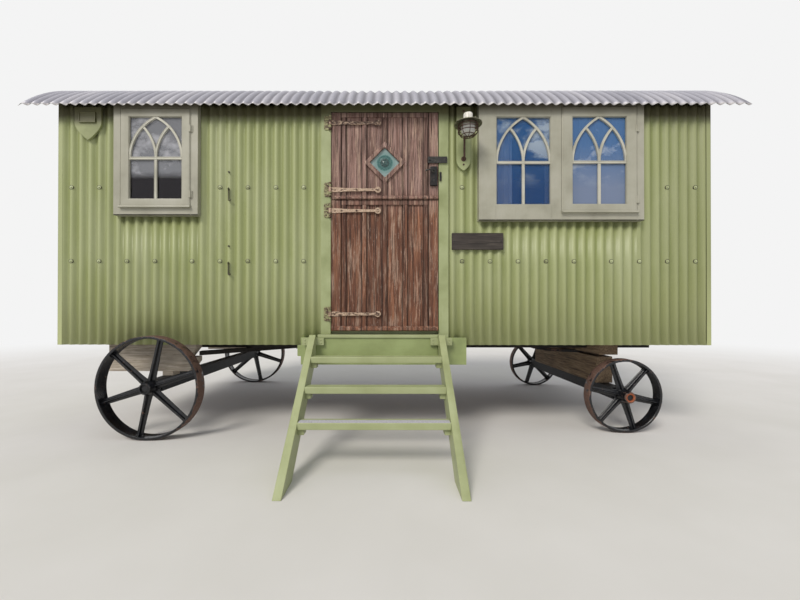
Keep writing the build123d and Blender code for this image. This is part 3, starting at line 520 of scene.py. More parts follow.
# the soffit's very dark tones: partly dark stain, partly painted shade under the eave
soffitStainAndShade = makeTimber("stainedSoffitBoardAndPaintedShade", "#1e150d", "#33261b", "#4a3927")
signWood = makeTimber("stainedOakBoard", "#241f1c", "#3b342f", "#4f4841", roughness=0.7, depth=1)

# Iron and brass
wheelIron = makeCastIron("bitumenOnCastIron", 0.0)
rustIron = makeCastIron("rustedIron", 0.22, 0.4, ("#2e211c", "#4b352b", "#6b5547"))
beamIron = makeCastIron("forgedAxleIron", 0.02, 0.6)
hubIron = makeCastIron("freshRustedIron", 0.4, 0.3, ("#6b3323", "#95502f", "#a9683f"))
hingeIron = makeHingeIron("flakedBuffPaintOnIron", ("#8f7763", "#b89f88", "#dccbb8"))
jambIron = makeHingeIron("flakedGreenPaintOnIron", ("#7f8057", "#9c9a70", "#b5ac88"))
lockIron = makeLockIron("japannedSteel", "#0f0e10", "#3a2f29")
greyIron = makeLockIron("greyedSteel", "#2a2927", "#4d4944")
lampBrass = makeLampBrass()

# Glass, glaze, cloth and grit
# each pane's colour is painted: reflections of sky and cloud at its head, and shade below
paintedSkyGlass = makeWindowGlass("drawnGlassPaintedSkyReflection", "#194b86", "#2c64a0", "#b9cbdf", 0.43)
paintedCloudGlass = makeWindowGlass("drawnGlassPaintedCloudReflection", "#7d8dab", "#4a76ab", "#c3d0e2", 0.6)
paintedShadeGlass = makeWindowGlass("drawnGlassPaintedShadeAndReflection", "#150f17", "#8a8c92", "#bfc0c6", 0.55, (2080, 2140))
crownGlass = makeCrownGlass()
# pressed jar glass, fluted and clear, painted near white: painted highlight for its glints
jarGlassWithPaintedGlints = makeSmallFinish(
    "pressedGlass", ((18, 18, 18), [(0.4, "#e9ebe4"), (0.7, "#fafaf6")], 5),
    ((7, 7, 60), [(0.2, 0.0), (0.8, 1.0)], 1), 0.6, 0.4, Roughness=0.12, IOR=1.5, Alpha=0.6)
# white glazed ceramic of the lampholder: glossy, with rain-washed grime
ceramic = makeSmallFinish(
    "glazedCeramic", ((20, 20, 70), [(0.42, "#ece9e1"), (0.7, "#c2bdb0")], 5),
    ((5, 5, 5), [(0.2, 0.0), (0.8, 1.0)], 2), 0.2, 0.25, Roughness=0.28, IOR=1.5)
# grit bonded on the tread in resin: grey stone grains of 2 mm, drawn at 4 mm, worn pale
grains = ((4, 4, 4), [(0.35, "#9f9ea6"), (0.65, "#c9c8cf")], 3)
gritStrip = makeSmallFinish("gritBondedInResin", grains, grains, 0.8, 0.7, Roughness=0.9)
curtainCloth = makeCloth("wovenCottonVoile", "#eef2fa", "#c3cfe2")
blindCloth = makeCloth("wovenBlindCotton", "#d2d2d4", "#adafb6")

# The record's slot that each finish of a new piece stands for
slots = {
    "green_paint": (sheetPaint, boltPaint, hookPaint),
    "green_wood": (postPaint, stringerPaint, shieldPaint),
    "putty_paint": (windowPaint, litBarPaint),
    "roof_zinc": (zinc,),
    "grey_timber": (gritStrip,),
    "black_iron": (wheelIron, beamIron, hubIron),
    "hinge_iron": (hingeIron, jambIron),
    "lock_iron": (lockIron, greyIron),
    "lamp_metal": (lampBrass, rustIron, ceramic),
    "clear_glass": (paintedSkyGlass, paintedCloudGlass, paintedShadeGlass, jarGlassWithPaintedGlints),
    "teal_glass": (crownGlass,),
}
slotOf = {material: slot for slot, finishes in slots.items() for material in finishes}
print("materials made:", len(bpy.data.materials))


# Places read from the CAD pieces, in millimetres
wallLow, wallHigh = boxMm("back_cladding")
frontLow, frontHigh = boxMm("front_cladding_left")
rightLow, rightHigh = boxMm("front_cladding_right")
roofLow, roofHigh = boxMm("roof_sheet")
crestY, backCrestY = frontLow[1], wallHigh[1]
middleY = (crestY + backCrestY) / 2
halfLength = wallHigh[0]
wallFoot, wallTop = wallLow[2], frontHigh[2]
roofAxisZ = roofHigh[2] - roofRadius

sheet = {
    "pitch": 76,            # three-inch corrugations
    "depth": 18,
    "gauge": 1.2,
    "crestAt": 29,          # a crest stands at this X
    "perPitch": 12,         # faces across one corrugation
    "rows": (1400, 2000),   # heights at which the faces are divided
    "back": 3,              # what stays between the troughs and the wall
    "cut": (25, 30, 20),    # how far an architrave covers it: at the sides, the foot and the head
    "corner": (34, 1.5),    # leg and gauge of the corner trims
}
roof = {
    "depth": 17,
    "perPitch": 10,
    "alongArc": 40,
    "skin": 0.8,            # the crests stay this far inside the CAD sheet
    "inset": 1,             # at the gables
    "layers": (18, 22),     # CAD sheet and deck
    "gap": 0.3,             # over and under the deck
}


def deckHeight(out):
    # Underside of the deck, this far from the hut's middle
    radius = roofRadius - sum(roof["layers"]) - 2 * roof["gap"]
    return roofAxisZ + math.sqrt(radius ** 2 - out ** 2)


def wave(along, crest=sheet["crestAt"]):
    # 0 in a trough and 1 on a crest
    return (1 + math.cos(2 * math.pi * (along - crest) / sheet["pitch"])) / 2


# Corrugated cladding, as thin rolled sheet. place(u, out, z) gives a point, u runs from start to
# end along the wall, and holes are (u low, u high, z low, z high).
def corrugatedSheet(name, node, start, end, place, top, holes=(), crest=sheet["crestAt"]):
    step = sheet["pitch"] / sheet["perPitch"]
    stations = {start, end, *[u for hole in holes for u in hole[:2]]}
    stations.update(k * step for k in range(math.ceil(start / step), math.floor(end / step) + 1))
    columns = sorted(stations)
    columns = [u for n, u in enumerate(columns) if n == 0 or u - columns[n - 1] > 0.01]
    heights = sorted({wallFoot, *sheet["rows"], *[z for hole in holes for z in hole[2:]]})
    shape = newShape()
    grid = []
    for u in columns:
        rise = wave(u, crest)
        out = sheet["back"] + sheet["gauge"] + sheet["depth"] * rise
        row = [z for z in heights if z < top(u) - 20] + [top(u)]
        while len(row) < len(heights) + 1:
            row.insert(-1, row[-2] + 1)
        grid.append([addVertex(shape, place(u, out, z), rise) for z in row])

    def solid(a, b):
        x, z = (a.x + b.x) / 2, (a.z + b.z) / 2
        return not any(h[0] < x < h[1] and h[2] < z < h[3] for h in holes)

    skinGrid(shape, grid, keep=solid)
    addGauge(addPiece(name, shape, sheetPaint, stands=node, smooth=60), sheet["gauge"])


def buildCladding():
    sides, foot, head = sheet["cut"]
    for side, low, high in (("left", frontLow, frontHigh), ("right", rightLow, rightHigh)):
        cutLow, cutHigh = boxMm(side + "_window_frame")
        hole = (cutLow[0] + sides, cutHigh[0] - sides, cutLow[2] + foot, cutHigh[2] - head)
        corrugatedSheet(f"front_sheets_{side}", f"front_cladding_{side}", low[0], high[0],
                        lambda u, out, z: (u, frontHigh[1] - out, z), lambda u: wallTop, [hole])
    corrugatedSheet("back_sheets", "back_cladding", wallLow[0], wallHigh[0],
                    lambda u, out, z: (u, wallLow[1] + out, z), lambda u: wallTop)
    for end, way in (("left", -1), ("right", 1)):
        low, high = boxMm(end + "_end_cladding")
        back = high[0] if way < 0 else low[0]
        corrugatedSheet(end + "_end_sheets", end + "_end_cladding", low[1], high[1],
                        lambda u, out, z: (back + way * out, u, z),
                        lambda u: deckHeight(abs(u - middleY)) - 1, crest=middleY)


def buildCornerTrims():
    # Folded angles over the sheets' ends
    leg, gauge = sheet["corner"]
    shape = newShape()
    for side in (-1, 1):
        for y, inward in ((crestY, 1), (backCrestY, -1)):
            for x, depth in ((side * (halfLength - leg), y), (side * halfLength, y + inward * leg)):
                xs = sorted((x, side * (halfLength + gauge)))
                ys = sorted((y - inward * gauge, depth))
                addBlock(shape, (xs[0], ys[0], wallFoot), (xs[1], ys[1], wallTop - 2), shade=1.0)
    addPiece("corner_trims", shape, sheetPaint, bevel=0.6)


# Sheets curved over the hut, their crests running from eave to eave
def buildRoof():
    angle = math.asin((roofHigh[1] - middleY) / roofRadius)
    first, last = roofLow[0] + roof["inset"], roofHigh[0] - roof["inset"]
    count = math.floor((roofHigh[0] - roofLow[0]) * roof["perPitch"] / sheet["pitch"])
    arc = [angle * (2 * k / roof["alongArc"] - 1) for k in range(roof["alongArc"] + 1)]
    shape = newShape()
    grid = []
    for n in range(count + 1):
        x = first + (last - first) * n / count
        rise = wave(x)
        radius = roofRadius - roof["skin"] - roof["depth"] * (1 - rise)
        points = [(x, middleY + radius * math.sin(t), roofAxisZ + radius * math.cos(t)) for t in arc]
        grid.append([addVertex(shape, point, rise) for point in points])
    skinGrid(shape, grid)
    piece = addPiece("curved_roof_sheets", shape, zinc, stands="roof_sheet", smooth=60)
    addGauge(piece, sheet["gauge"])


buildCladding()
buildCornerTrims()
print("cladding done")
buildRoof()
print("roof done")

# Windows: flat architrave, casements with a moulded edge, and gothic glazing bars
window = {
    "head": 2572,           # all the glass ends at this height
    "bead": 9,
    "rail": 72,
    "gap": 1.5,             # round a casement
    "proud": 8,             # a casement's face, from the architrave's
    "bar": (22, 16),        # width and depth of a glazing bar
    "barBehind": 5,         # its face, from the sash's
    "archSlim": 0.82,       # the curved bars are this much slimmer
    "lip": 20,              # the casement's weather lip stands out this far
    "hinges": (105, 95),    # over the bottom rail, and under the head
    "hinge": (6, 28, 16),   # knuckle's radius, half its length, and width of a flap
    "pane": (8, 4, 22),     # in the rebate, thickness, and behind the face of its own sash
}
panes = {
    # centre, sash width, glass width, foot of the glass, spring bar, whether it opens, and its glass
    "left": [(-1838, 567, 421, 1914, 2240, True, paintedShadeGlass)],
    "right": [(1123.5, 605, 430, 1872, 2208, False, paintedSkyGlass),
              (1730.5, 605, 430, 1872, 2208, True, paintedCloudGlass)],
}


def archBars(centre, width, spring, head):
    # Centre lines of the tracery: one pointed arch, and two branches of the same radius
    half = width / 2
    rise = head - spring
    radius = (rise ** 2 + half ** 2) / (2 * half)
    turn = math.degrees(math.asin(rise / radius))
    meet = math.degrees(math.acos((radius - half / 2) / radius))
    lines = [arcPoints((centre - half + radius, spring), radius, 180, 180 - turn, 18),
             arcPoints((centre + radius, spring), radius, 180, 180 - meet, 12)]
    return lines + [[(2 * centre - x, z) for x, z in line] for line in lines]


def buildArchitrave(side, low, high):
    # Boards round the openings; a fixed light has no sash of its own, and the boards run to its glass
    face, back = low[1], high[1]
    lights = panes[side]
    shape = newShape()
    left = low[0]
    for centre, width, glass, foot, spring, opens, material in lights:
        reach = width / 2 + window["gap"] if opens else glass / 2 + window["bead"]
        over = window["rail"] + window["gap"] if opens else window["bead"]
        addBlock(shape, (left, face, low[2]), (centre - reach, back, high[2]))
        addBlock(shape, (centre - reach, face, low[2]), (centre + reach, back, foot - over))
        addBlock(shape, (centre - reach, face, window["head"] + over), (centre + reach, back, high[2]))
        left = centre + reach
    addBlock(shape, (left, face, low[2]), (high[0], back, high[2]))
    sill = [(-5, -6), (-5, 4), (3, 4), (8, -6)]
    addMoulding(shape, [(low[0], low[2] + 5), (high[0], low[2] + 5)], sill, face + 4)
    addPiece(side + "_architrave", shape, windowPaint, stands=side + "_window_frame", bevel=1.5)


def buildLight(name, face, centre, width, glass, foot, spring, opens, material):
    head = window["head"]
    xs, zs = (centre - glass / 2, centre + glass / 2), (foot, head)
    left, right, bottom = centre - width / 2, centre + width / 2, foot - window["rail"]
    shape = newShape()
    if opens:
        sashFace = face - window["proud"]
        stile = (width - glass) / 2 - 0.5
        section = [(0, -30), (0, -7), (-3, -6), (-4, -2), (-8, 0), (9 - stile, 0), (8 - stile, -3),
                   (3 - stile, -5), (-stile, -8), (-stile, -30)]
        lip = window["lip"]
        addMoulding(shape, [(left - 3, bottom + 4), (right + 3, bottom + 4)],
                    [(-8, -6), (-9, 8), (-4, lip), (3, lip - 2), (9, 6), (15, -6)], sashFace)
    else:
        sashFace = face
        section = [(0, -30), (0, -8), (-3, -6), (-5, -1), (-12, 0), (-12, -30)]
    addMoulding(shape, cornersOf(xs, zs), section, sashFace, closed=True)
    addPiece(name.format("light"), shape, windowPaint, stands="window_sashes", smooth=28)

    bars = newShape()
    half, deep = window["bar"][0] / 2, window["bar"][1]
    section = [(-half, -deep), (-half, -2), (-half + 2, 0), (-half + 4, 0), (-half + 6, -3)]
    section += [(-u, v) for u, v in reversed(section)]
    front = sashFace + window["barBehind"]
    addMoulding(bars, [(centre, foot), (centre, spring)], section, front)
    addMoulding(bars, [(xs[0], spring), (xs[1], spring)], section, front - 0.6)
    for n, line in enumerate(archBars(centre, glass, spring, head)):
        # each arch lies a little behind the one before, so that no two faces coincide
        addMoulding(bars, line, [(u * window["archSlim"], v) for u, v in section], front + 0.3 * n)
    addPiece(name.format("tracery"), bars, litBarPaint, smooth=30)

    pane = newShape()
    rebate, thick, behind = window["pane"]
    around = cornersOf((xs[0] - rebate, xs[1] + rebate), (zs[0] - rebate, zs[1] + rebate))
    addPlate(pane, around, sashFace + behind + thick, thick)
    addPiece(name.format("pane"), pane, material, stands="window_glass", bevel=0.4)
    if opens:
        hinges = newShape()
        knuckle, tall, flap = window["hinge"]
        x = right + 1
        for z in (bottom + window["hinges"][0], head - window["hinges"][1]):
            addTurned(hinges, [(knuckle, -tall), (knuckle, tall)], (x, sashFace - 2, z), sides=16)
            addBlock(hinges, (x - flap, sashFace - 2.5, z - tall), (x, sashFace + 2, z + tall))
            addBlock(hinges, (x, sashFace + 2, z - tall), (x + flap, face + 2, z + tall))
        addPiece(name.format("casement_hinges"), hinges, windowPaint, bevel=1)


for side in panes:
    low, high = boxMm(side + "_window_frame")
    buildArchitrave(side, low, high)
    for number, light in enumerate(panes[side], 1):
        buildLight(f"{side}_{{}}_{number}", low[1], *light)
print("windows done")

# Stable door: boards between moulded cover battens, in two leaves
door = {
    "centre": 7,
    "halfWidth": 434,
    "thickness": 44,
    "stile": 77,
    "batten": 34,
    "battenPitch": 167,
    "relief": 14,           # boards lie this far behind the stiles
    "dip": 2,               # and each up to this much further, as it has shrunk
    "rail": 38,
    "slack": 3,             # gap between boards
    "diamondZ": 2221,
    "diamondHalf": 122,     # to the inner corners of its moulding
    "diamondCut": 130,      # to the corners of the hole in the boards
    "diamondMoulding": 34,
    "bar": {"upper": (32, 16), "lower": (41, 22)},    # height and depth of the weather bar and drip board
    "barInset": 25,
    "shades": {"lower": (0.42, 0.62, 0.55, 0.9, 1.0, 0.3), "upper": (0.55, 0.78, 0.6, 0.85, 0.9, 0.68)},
}
doorWood = makeDoorWood()
slotOf[doorWood] = "door_wood"
postFace = boxMm("door_frame")[0][1]


def buildLeaf(leaf):
    node, body = "door_" + leaf, leaf + "_leaf"
    low, high = [corner[2] for corner in boxMm(node)]
    face, back = postFace, postFace + door["thickness"]
    cx, cz = door["centre"], door["diamondZ"]
    left, right = cx - door["halfWidth"], cx + door["halfWidth"]
    reliefY = face + door["relief"]
    centres = [cx + (n - 2) * door["battenPitch"] for n in range(5)]
    half, reach = door["batten"] / 2, door["diamondCut"]
    upper = leaf == "upper"

    def addPart(name, shape, **more):
        addPiece(name, shape, doorWood, body, **more)

    boards = newShape()
    edges = [left] + centres + [right]
    for n in range(6):
        x0 = edges[n] + (door["slack"] / 2 if n else 0)
        x1 = edges[n + 1] - (door["slack"] / 2 if n < 5 else 0)
        outline = cornersOf((x0, x1), (low, high))
        if upper and n == 2:
            outline[2:2] = [(x1, cz - reach), (x1 - reach, cz), (x1, cz + reach)]
        if upper and n == 3:
            outline += [(x0, cz + reach), (x0 + reach, cz), (x0, cz - reach)]
        dip = random.uniform(0, door["dip"])
        addPlate(boards, outline, back, back - reliefY - dip, door["shades"][leaf][n])
    addPart(body + "_boards", boards, stands=node, bevel=1.6)

    stiles = newShape()
    stile, rail = door["stile"], door["rail"]
    for x0, x1, shade in ((left, left + stile, 0.62), (right - stile, right, 0.86)):
        addBlock(stiles, (x0, face, low), (x1, reliefY + 3, high), shade)
    inside = stile + 1
    addBlock(stiles, (left + inside, face + 1.5, high - rail), (right - inside, reliefY + 3, high), 0.6)
    addPart(body + "_stiles", stiles, bevel=2.2)

    battens = newShape()
    section = [(-half, -16), (-half, -5), (-half + 3, -2), (-half + 8, 0)]
    section += [(-u, v) for u, v in reversed(section)]
    wide, moulding = door["diamondHalf"], door["diamondMoulding"]
    clear = wide + moulding - 4
    for n, x in enumerate(centres):
        spans = [(low, high - rail - 1)]
        if upper and n == 2:
            spans = [(low, cz - clear), (cz + clear, high - rail - 1)]
        for span in spans:
            addMoulding(battens, [(x, z) for z in span], section, face + 1, shade=0.45 + 0.35 * (n % 2))
    addPart(body + "_battens", battens, smooth=40)

    bar = newShape()
    tall, proud = door["bar"][leaf]
    section = [(0, -4), (0, proud * 0.6), (tall * 0.15, proud), (tall * 0.5, proud * 0.95),
               (tall * 0.8, proud * 0.7), (tall, proud * 0.2), (tall, -4)]
    addMoulding(bar, [(left + door["barInset"], low), (right - 1, low)], section, face, shade=0.75)
    addPart(body + "_weather_bar", bar, bevel=2)
    if upper:
        ring = newShape()
        section = [(0, -12), (0, 1), (-3, 5), (-8, 7), (-12, 4), (-18, 4), (4 - moulding, 3), (-moulding, 0),
                   (-moulding, -14)]
        corners = [(cx - wide, cz), (cx, cz - wide), (cx + wide, cz), (cx, cz + wide)]
        addMoulding(ring, corners, section, face, closed=True, shade=0.75)
        addPart("diamond_moulding", ring, smooth=25)


buildLeaf("lower")
buildLeaf("upper")

# Crown glass in the diamond: ripples round the bullion
crown = {
    "rings": 26,
    "around": 64,
    "behind": 9.5,          # from the foremost point of its place
    "thickness": 3.5,
    "bullion": (7.5, 24),   # how far it swells out, and how wide it is
    "dent": (4, 9),         # where the rod broke off
    "ripple": (5.2, 70),    # millimetres to a radian of it, and how soon it dies out
    "dark": (47, 4.4),      # width of the dark middle, and millimetres to a radian of its rings
}


def buildCrownGlass():
    front = boxMm("diamond_window")[0][1] + crown["behind"]
    cx, cz = door["centre"], door["diamondZ"]
    reach = door["diamondCut"] - 0.5
    shape = newShape()
    grid = []

    def bell(radius, width):
        return math.exp(-(radius / width) ** 2)

    for n in range(crown["rings"] + 1):
        row = []
        for turn in turns(crown["around"]):
            radius = reach / (abs(math.cos(turn)) + abs(math.sin(turn))) * n / crown["rings"]
            swell = crown["bullion"][0] * bell(radius, crown["bullion"][1])
            swell += math.cos(radius / crown["ripple"][0]) * math.exp(-radius / crown["ripple"][1])
            swell -= crown["dent"][0] * bell(radius, crown["dent"][1])
            tone = min(1.0, bell(radius, crown["dark"][0]) * 1.15)
            tone *= 0.72 + 0.28 * math.cos(radius / crown["dark"][1])
            place = (cx + radius * math.cos(turn), front - swell, cz + radius * math.sin(turn))
            row.append(addVertex(shape, place, tone))
        grid.append(row)
    skinGrid(shape, grid, closedRing=True)
    bmesh.ops.remove_doubles(shape, verts=grid[0], dist=0.001)
    piece = addPiece("crown_glass_pane", shape, crownGlass, "upper_leaf", "diamond_window", smooth=60)
    addGauge(piece, crown["thickness"], -1)


buildCrownGlass()

# Tee hinges
hinge = {
    "x": -437,
    "stand": 12,            # the pins stand this far out of the posts
    "heights": {"upper": (1996, 2540), "lower": (986, 1826)},
    "paintLeft": {1996: 0.85, 2540: 0.3, 986: 0.6, 1826: 1.0},    # on the strap at each height
    "reach": 413,
    "root": 20,             # half the strap's width at the pin
    "waist": (50, 120, 14), # where it narrows from and to, and half its width there
    "tip": 10,              # half its width at the eye
    "eye": 25,
    "thickness": 6,
    "knuckle": (11, 19.5),  # radius, and half its length
    "bolts": (38, 92, 215),
    "plate": (50, 115),
    "screws": ((15, 38), (15, -38), (26, 12), (26, -12)),
}
hingeY = postFace - hinge["stand"]
lock = {
    "x": (373, 433),
    "z": 2103,
    "deep": 22,
    "tall": 157,
    "lever": 38,            # over the middle
    "keyhole": 36,          # under it
    "hasp": (355, 513),
    "haspZ": 2237,
    "haspHalf": 26,
    "keep": (451, 16, 35, 12),    # its left edge, width, half height and depth
}


def buildStraps(leaf):
    straps, bolts = newShape(), newShape()
    x, face, thick = hinge["x"], postFace, hinge["thickness"]
    root, tip, eye = hinge["root"], hinge["tip"], hinge["eye"]
    wideTo, narrowFrom, waist = hinge["waist"]
    radius, half = hinge["knuckle"]
    end = x + hinge["reach"] - eye
    turn = math.degrees(math.asin(tip / eye))
    neck = end - eye * math.cos(math.radians(turn))
    for z in hinge["heights"][leaf]:
        tone = hinge["paintLeft"][z]
        lower = [(x, -root), (x + wideTo, -root), (x + narrowFrom, -waist), (neck, -tip)]
        outline = [(u, z + v) for u, v in lower]
        outline += arcPoints((end, z), eye, 180 + turn, 540 - turn, 22)[1:-1]
        outline += [(u, z - v) for u, v in reversed(lower)]
        addPlate(straps, outline, face, thick, tone)
        addTurned(straps, [(radius, -half), (radius, half)], (x, hingeY, z), sides=24, shade=tone)
        addBlock(straps, (x - 2, hingeY - 2, z - half), (x + 12, face - 1, z + half))
        for out in hinge["bolts"]:
            addHead(bolts, x + out, face - thick, z, 8, 5)
        addHead(bolts, end, face - thick, z, 12, 7)
    body = leaf + "_leaf"
    addPiece(leaf + "_hinge_strap_bolts", bolts, hingeIron, body, smooth=50)
    addPiece(leaf + "_hinge_straps", straps, hingeIron, body, stands=leaf + "_hinges", bevel=1.2)


def buildJambPlates():
    plates, screws, keep = newShape(), newShape(), newShape()
    width, height = hinge["plate"]
    radius, gap = hinge["knuckle"][0], hinge["knuckle"][1] + 1.5
    x, half = hinge["x"], height / 2
    inner, outer = x - radius - 1, x - width
    for z in hinge["heights"]["upper"] + hinge["heights"]["lower"]:
        outline = [(outer + 8, z - half), (inner, z - half), (inner, z + half), (outer + 8, z + half),
                   (outer, z + half - 10), (outer, z - half + 10)]
        addPlate(plates, outline, postFace, hinge["thickness"])
        for low, high in ((z - half, z - gap), (z + gap, z + half)):
            addTurned(plates, [(radius, low), (radius, high)], (x, hingeY, 0), sides=24)
            addBlock(plates, (inner - 2, hingeY, low), (x, postFace, high))
        for way in (-1, 1):
            addTurned(plates, [(6, -1), (6, 3), (3, 5)], (x, hingeY, z + way * half), (0, 0, way), sides=16)
        for across, drop in hinge["screws"]:
            addHead(screws, outer + across, postFace - hinge["thickness"], z + drop, 5, 2)
    left, wide, half, deep = lock["keep"]
    low, high = lock["z"] - half, lock["z"] + half
    addBlock(keep, (left, postFace - deep, low), (left + wide, postFace, high))
    for z in (low + 10, high - 10):
        addHead(keep, left + wide / 2, postFace - deep, z, 4, 2)
    addPiece("jamb_plate_screws", screws, jambIron, smooth=50)
    addPiece("jamb_plates", plates, jambIron, stands="jamb_ironwork", bevel=1)
    addPiece("lock_keep", keep, lockIron, bevel=1.5)


# Rim lock, lever and hasp on the upper leaf
def buildLock():
    case, parts, hasp = newShape(), newShape(), newShape()
    face, front, out = postFace, postFace - lock["deep"], (0, -1, 0)
    left, right = lock["x"]
    low, high = lock["z"] - lock["tall"] / 2, lock["z"] + lock["tall"] / 2
    addBlock(case, (left, front, low), (right, face, high))
    addPiece("rim_lock_case", case, lockIron, "upper_leaf", stands="door_lock", bevel=5, steps=3)

    middle, z = (left + right) / 2, lock["z"] + lock["lever"]
    addTurned(parts, [(15, 0), (15, 4), (11, 7)], (middle, front, z), out, 24)
    lever = [(0, 2, 0), (0, 18, 0), (8, 26, 0), (30, 27, 4), (58, 25, 1), (70, 21, -6)]
    addRod(parts, [(middle - back, front - stand, z + rise) for back, stand, rise in lever], 6, 12)
    addTurned(parts, [(9, 0), (9, 3)], (middle, front, lock["z"] - lock["keyhole"]), out, 20)
    for x, z in cornersOf((left + 9, right - 9), (low + 9, high - 9)):
        addHead(parts, x, front, z, 4, 2)
    addPiece("lock_lever", parts, greyIron, "upper_leaf", smooth=45)

    start, end = lock["hasp"]
    z, half = lock["haspZ"], lock["haspHalf"]
    addBlock(hasp, (start, face - 14, z - half), (end, face - 6.5, z + half))
    addBlock(hasp, (start, face - 8, z - half), (right, face, z + half))
    addTurned(hasp, [(7, 0), (7, 9), (5, 11)], (start + 14, face - 14, z), out, 16)
    for x, drop in ((start + 40, 12), (start + 40, -12), (start + 62, 12), (start + 62, -12)):
        addHead(hasp, x, face - 14, z + drop, 5, 3)
    addHead(hasp, end - 14, face - 14, z, 6, 3)
    addPiece("hasp_bar", hasp, greyIron, "upper_leaf", bevel=1.5)


buildStraps("upper")
buildStraps("lower")
buildJambPlates()
buildLock()
print("door done")

# Cast wheels
wheel = {
    "web": 11,              # rim thickness between its lips
    "lip": 20,
    "lipHeight": 16,
    "spokeWeb": 12,
    "spokeWidth": (62, 47), # at the hub and at the rim
    "ribDepth": (70, 44),
    "ribThickness": 13,
    "fillet": 5,
    "spokeFrom": 40,        # the spokes start inside the hub
    "stations": 12,         # along a spoke
    "hub": 58,
    "nose": 45,
    "bore": 34,
    "pin": 27,
    "ring": (25, 42),       # front hub ring, hole and outside
}
axles = {
    # radius, rim width, how far the rim's face is outside the wall, hub nose, degrees to the first
    # spoke, and rust on the hub
    "rear": (406.5, 105, 135, 25, 18, 0.15),
    "front": (305, 90, -60, 60, 48, 1.0),
}


def buildWheel(axle, place, side):
    # side is -1 for the near wheels
    radius, width, proud, hubOut, firstSpoke, rusty = axles[axle]
    low, high = boxMm(f"{axle}_wheel_{place}")
    x, half = (low[0] + high[0]) / 2, width / 2
    middle = middleY + side * (middleY - crestY + proud - half)

    def put(u, v, out):
        return (x - side * u, middle + side * out, radius + v)

    def addRound(shape, profile, sides, shade):
        rings = [[put(r * math.cos(t), r * math.sin(t), out) for t in turns(sides)] for r, out in profile]
        addRings(shape, rings, True, shade)

    web, lip, deep = radius - wheel["web"], radius - wheel["lip"], wheel["lipHeight"]
    shape = newShape()
    # one half of the rim's section, from the tread round the lip to the web
    rim = [(radius, half - 3), (radius - 1, half - 1), (radius - 3, half), (lip + 2, half), (lip, half - 2),
           (lip + 0.5, half - 5), (web - 1, half - deep), (web, half - deep - 5)]
    rust = [1.0, 0.9, 0.4, 0.1, 0.1, 0.1, 0.1, 0.1]
    addRound(shape, rim + [(r, -out) for r, out in reversed(rim)], 96, rust + rust[::-1])
    hub, end, bore = wheel["hub"], wheel["nose"], wheel["bore"]
    nose = half + hubOut
    tail = nose - (high[1] - low[1])
    profile = [(wheel["pin"], nose - 12), (bore, nose - 12), (bore, nose - 2), (bore + 2, nose),
               (end - 3, nose), (end, nose - 3), (end + 3, nose - 12), (hub - 3, min(half - 6, nose - 20)),
               (hub, min(half - 14, nose - 28)), (hub, tail + 30), (end + 2, tail + 6), (end, tail),
               (wheel["pin"], tail)]
    addRound(shape, profile, 48, [rusty] * 6 + [rusty * 0.5] + [0.1] * 6)

    start, reach = wheel["spokeFrom"], web + 3
    thin, rib, fillet = wheel["spokeWeb"] / 2, wheel["ribThickness"] / 2, wheel["fillet"]
    for turn in turns(6, firstSpoke / 60):
        rings = []
        for k in range(wheel["stations"] + 1):
            part = k / wheel["stations"]
            r = start + (reach - start) * part
            # it flares where it meets the hub and the rim
            flareIn = math.exp(-(r - 52) / 16) if r > 52 else 1.0
            flareOut = math.exp(-(reach - r) / 12)
            w, d = [a + (b - a) * part for a, b in (wheel["spokeWidth"], wheel["ribDepth"])]
            w = (w + 14 * flareIn + 30 * flareOut) / 2
            d = min((d + 6 * flareIn + 14 * flareOut) / 2, half - 3)
            section = [(w, 3), (w - 3, thin), (rib + fillet, thin), (rib + 1.2, thin + fillet * 0.4),
                       (rib, thin + fillet), (rib - 1.5, d - 2), (rib - 3.5, d)]
            section += [(-p, q) for p, q in reversed(section)]
            section += [(p, -q) for p, q in reversed(section)]
            cos, sin = math.cos(turn), math.sin(turn)
            rings.append([put(r * cos - p * sin, r * sin + p * cos, q) for p, q in section])
        addRings(shape, rings, shade=0.1)
    name, body = f"{axle}_cast_wheel_{place}", f"wheel_{axle}_{place}"
    addPiece(name, shape, wheelIron, body, stands=f"{axle}_wheel_{place}", smooth=42)
    if axle == "front":
        ring = newShape()
        hole, outside = wheel["ring"]
        profile = [(hole, nose - 10), (hole, nose - 2), (hole + 2, nose - 0.5), (outside - 2, nose - 0.5),
                   (outside, nose - 3), (outside, nose - 10)]
        addRound(ring, profile, 40, 0)
        addPiece(name + "_hub_ring", ring, hubIron, body, smooth=40)


def buildTurntable():
    # Two flat rings, one turning on the other
    low, high = boxMm("turntable_rings")
    outer = (high[0] - low[0]) / 2
    centre = ((low[0] + high[0]) / 2, (low[1] + high[1]) / 2, 0)
    wide, thick, gap = 60, 11.8, 0.6
    shape = newShape()
    for z0, z1 in ((low[2], low[2] + thick), (low[2] + thick + gap, high[2])):
        profile = [(outer - wide, z0), (outer, z0), (outer, z1), (outer - wide, z1)]
        addTurned(shape, profile, centre, sides=72, closed=True, shade=0.4)
    addPiece("turntable_plates", shape, beamIron, stands="turntable_rings", bevel=1.2)


for place, side in (("near", -1), ("far", 1)):
    for axle in axles:
        buildWheel(axle, place, side)
buildTurntable()
print("wheels done")

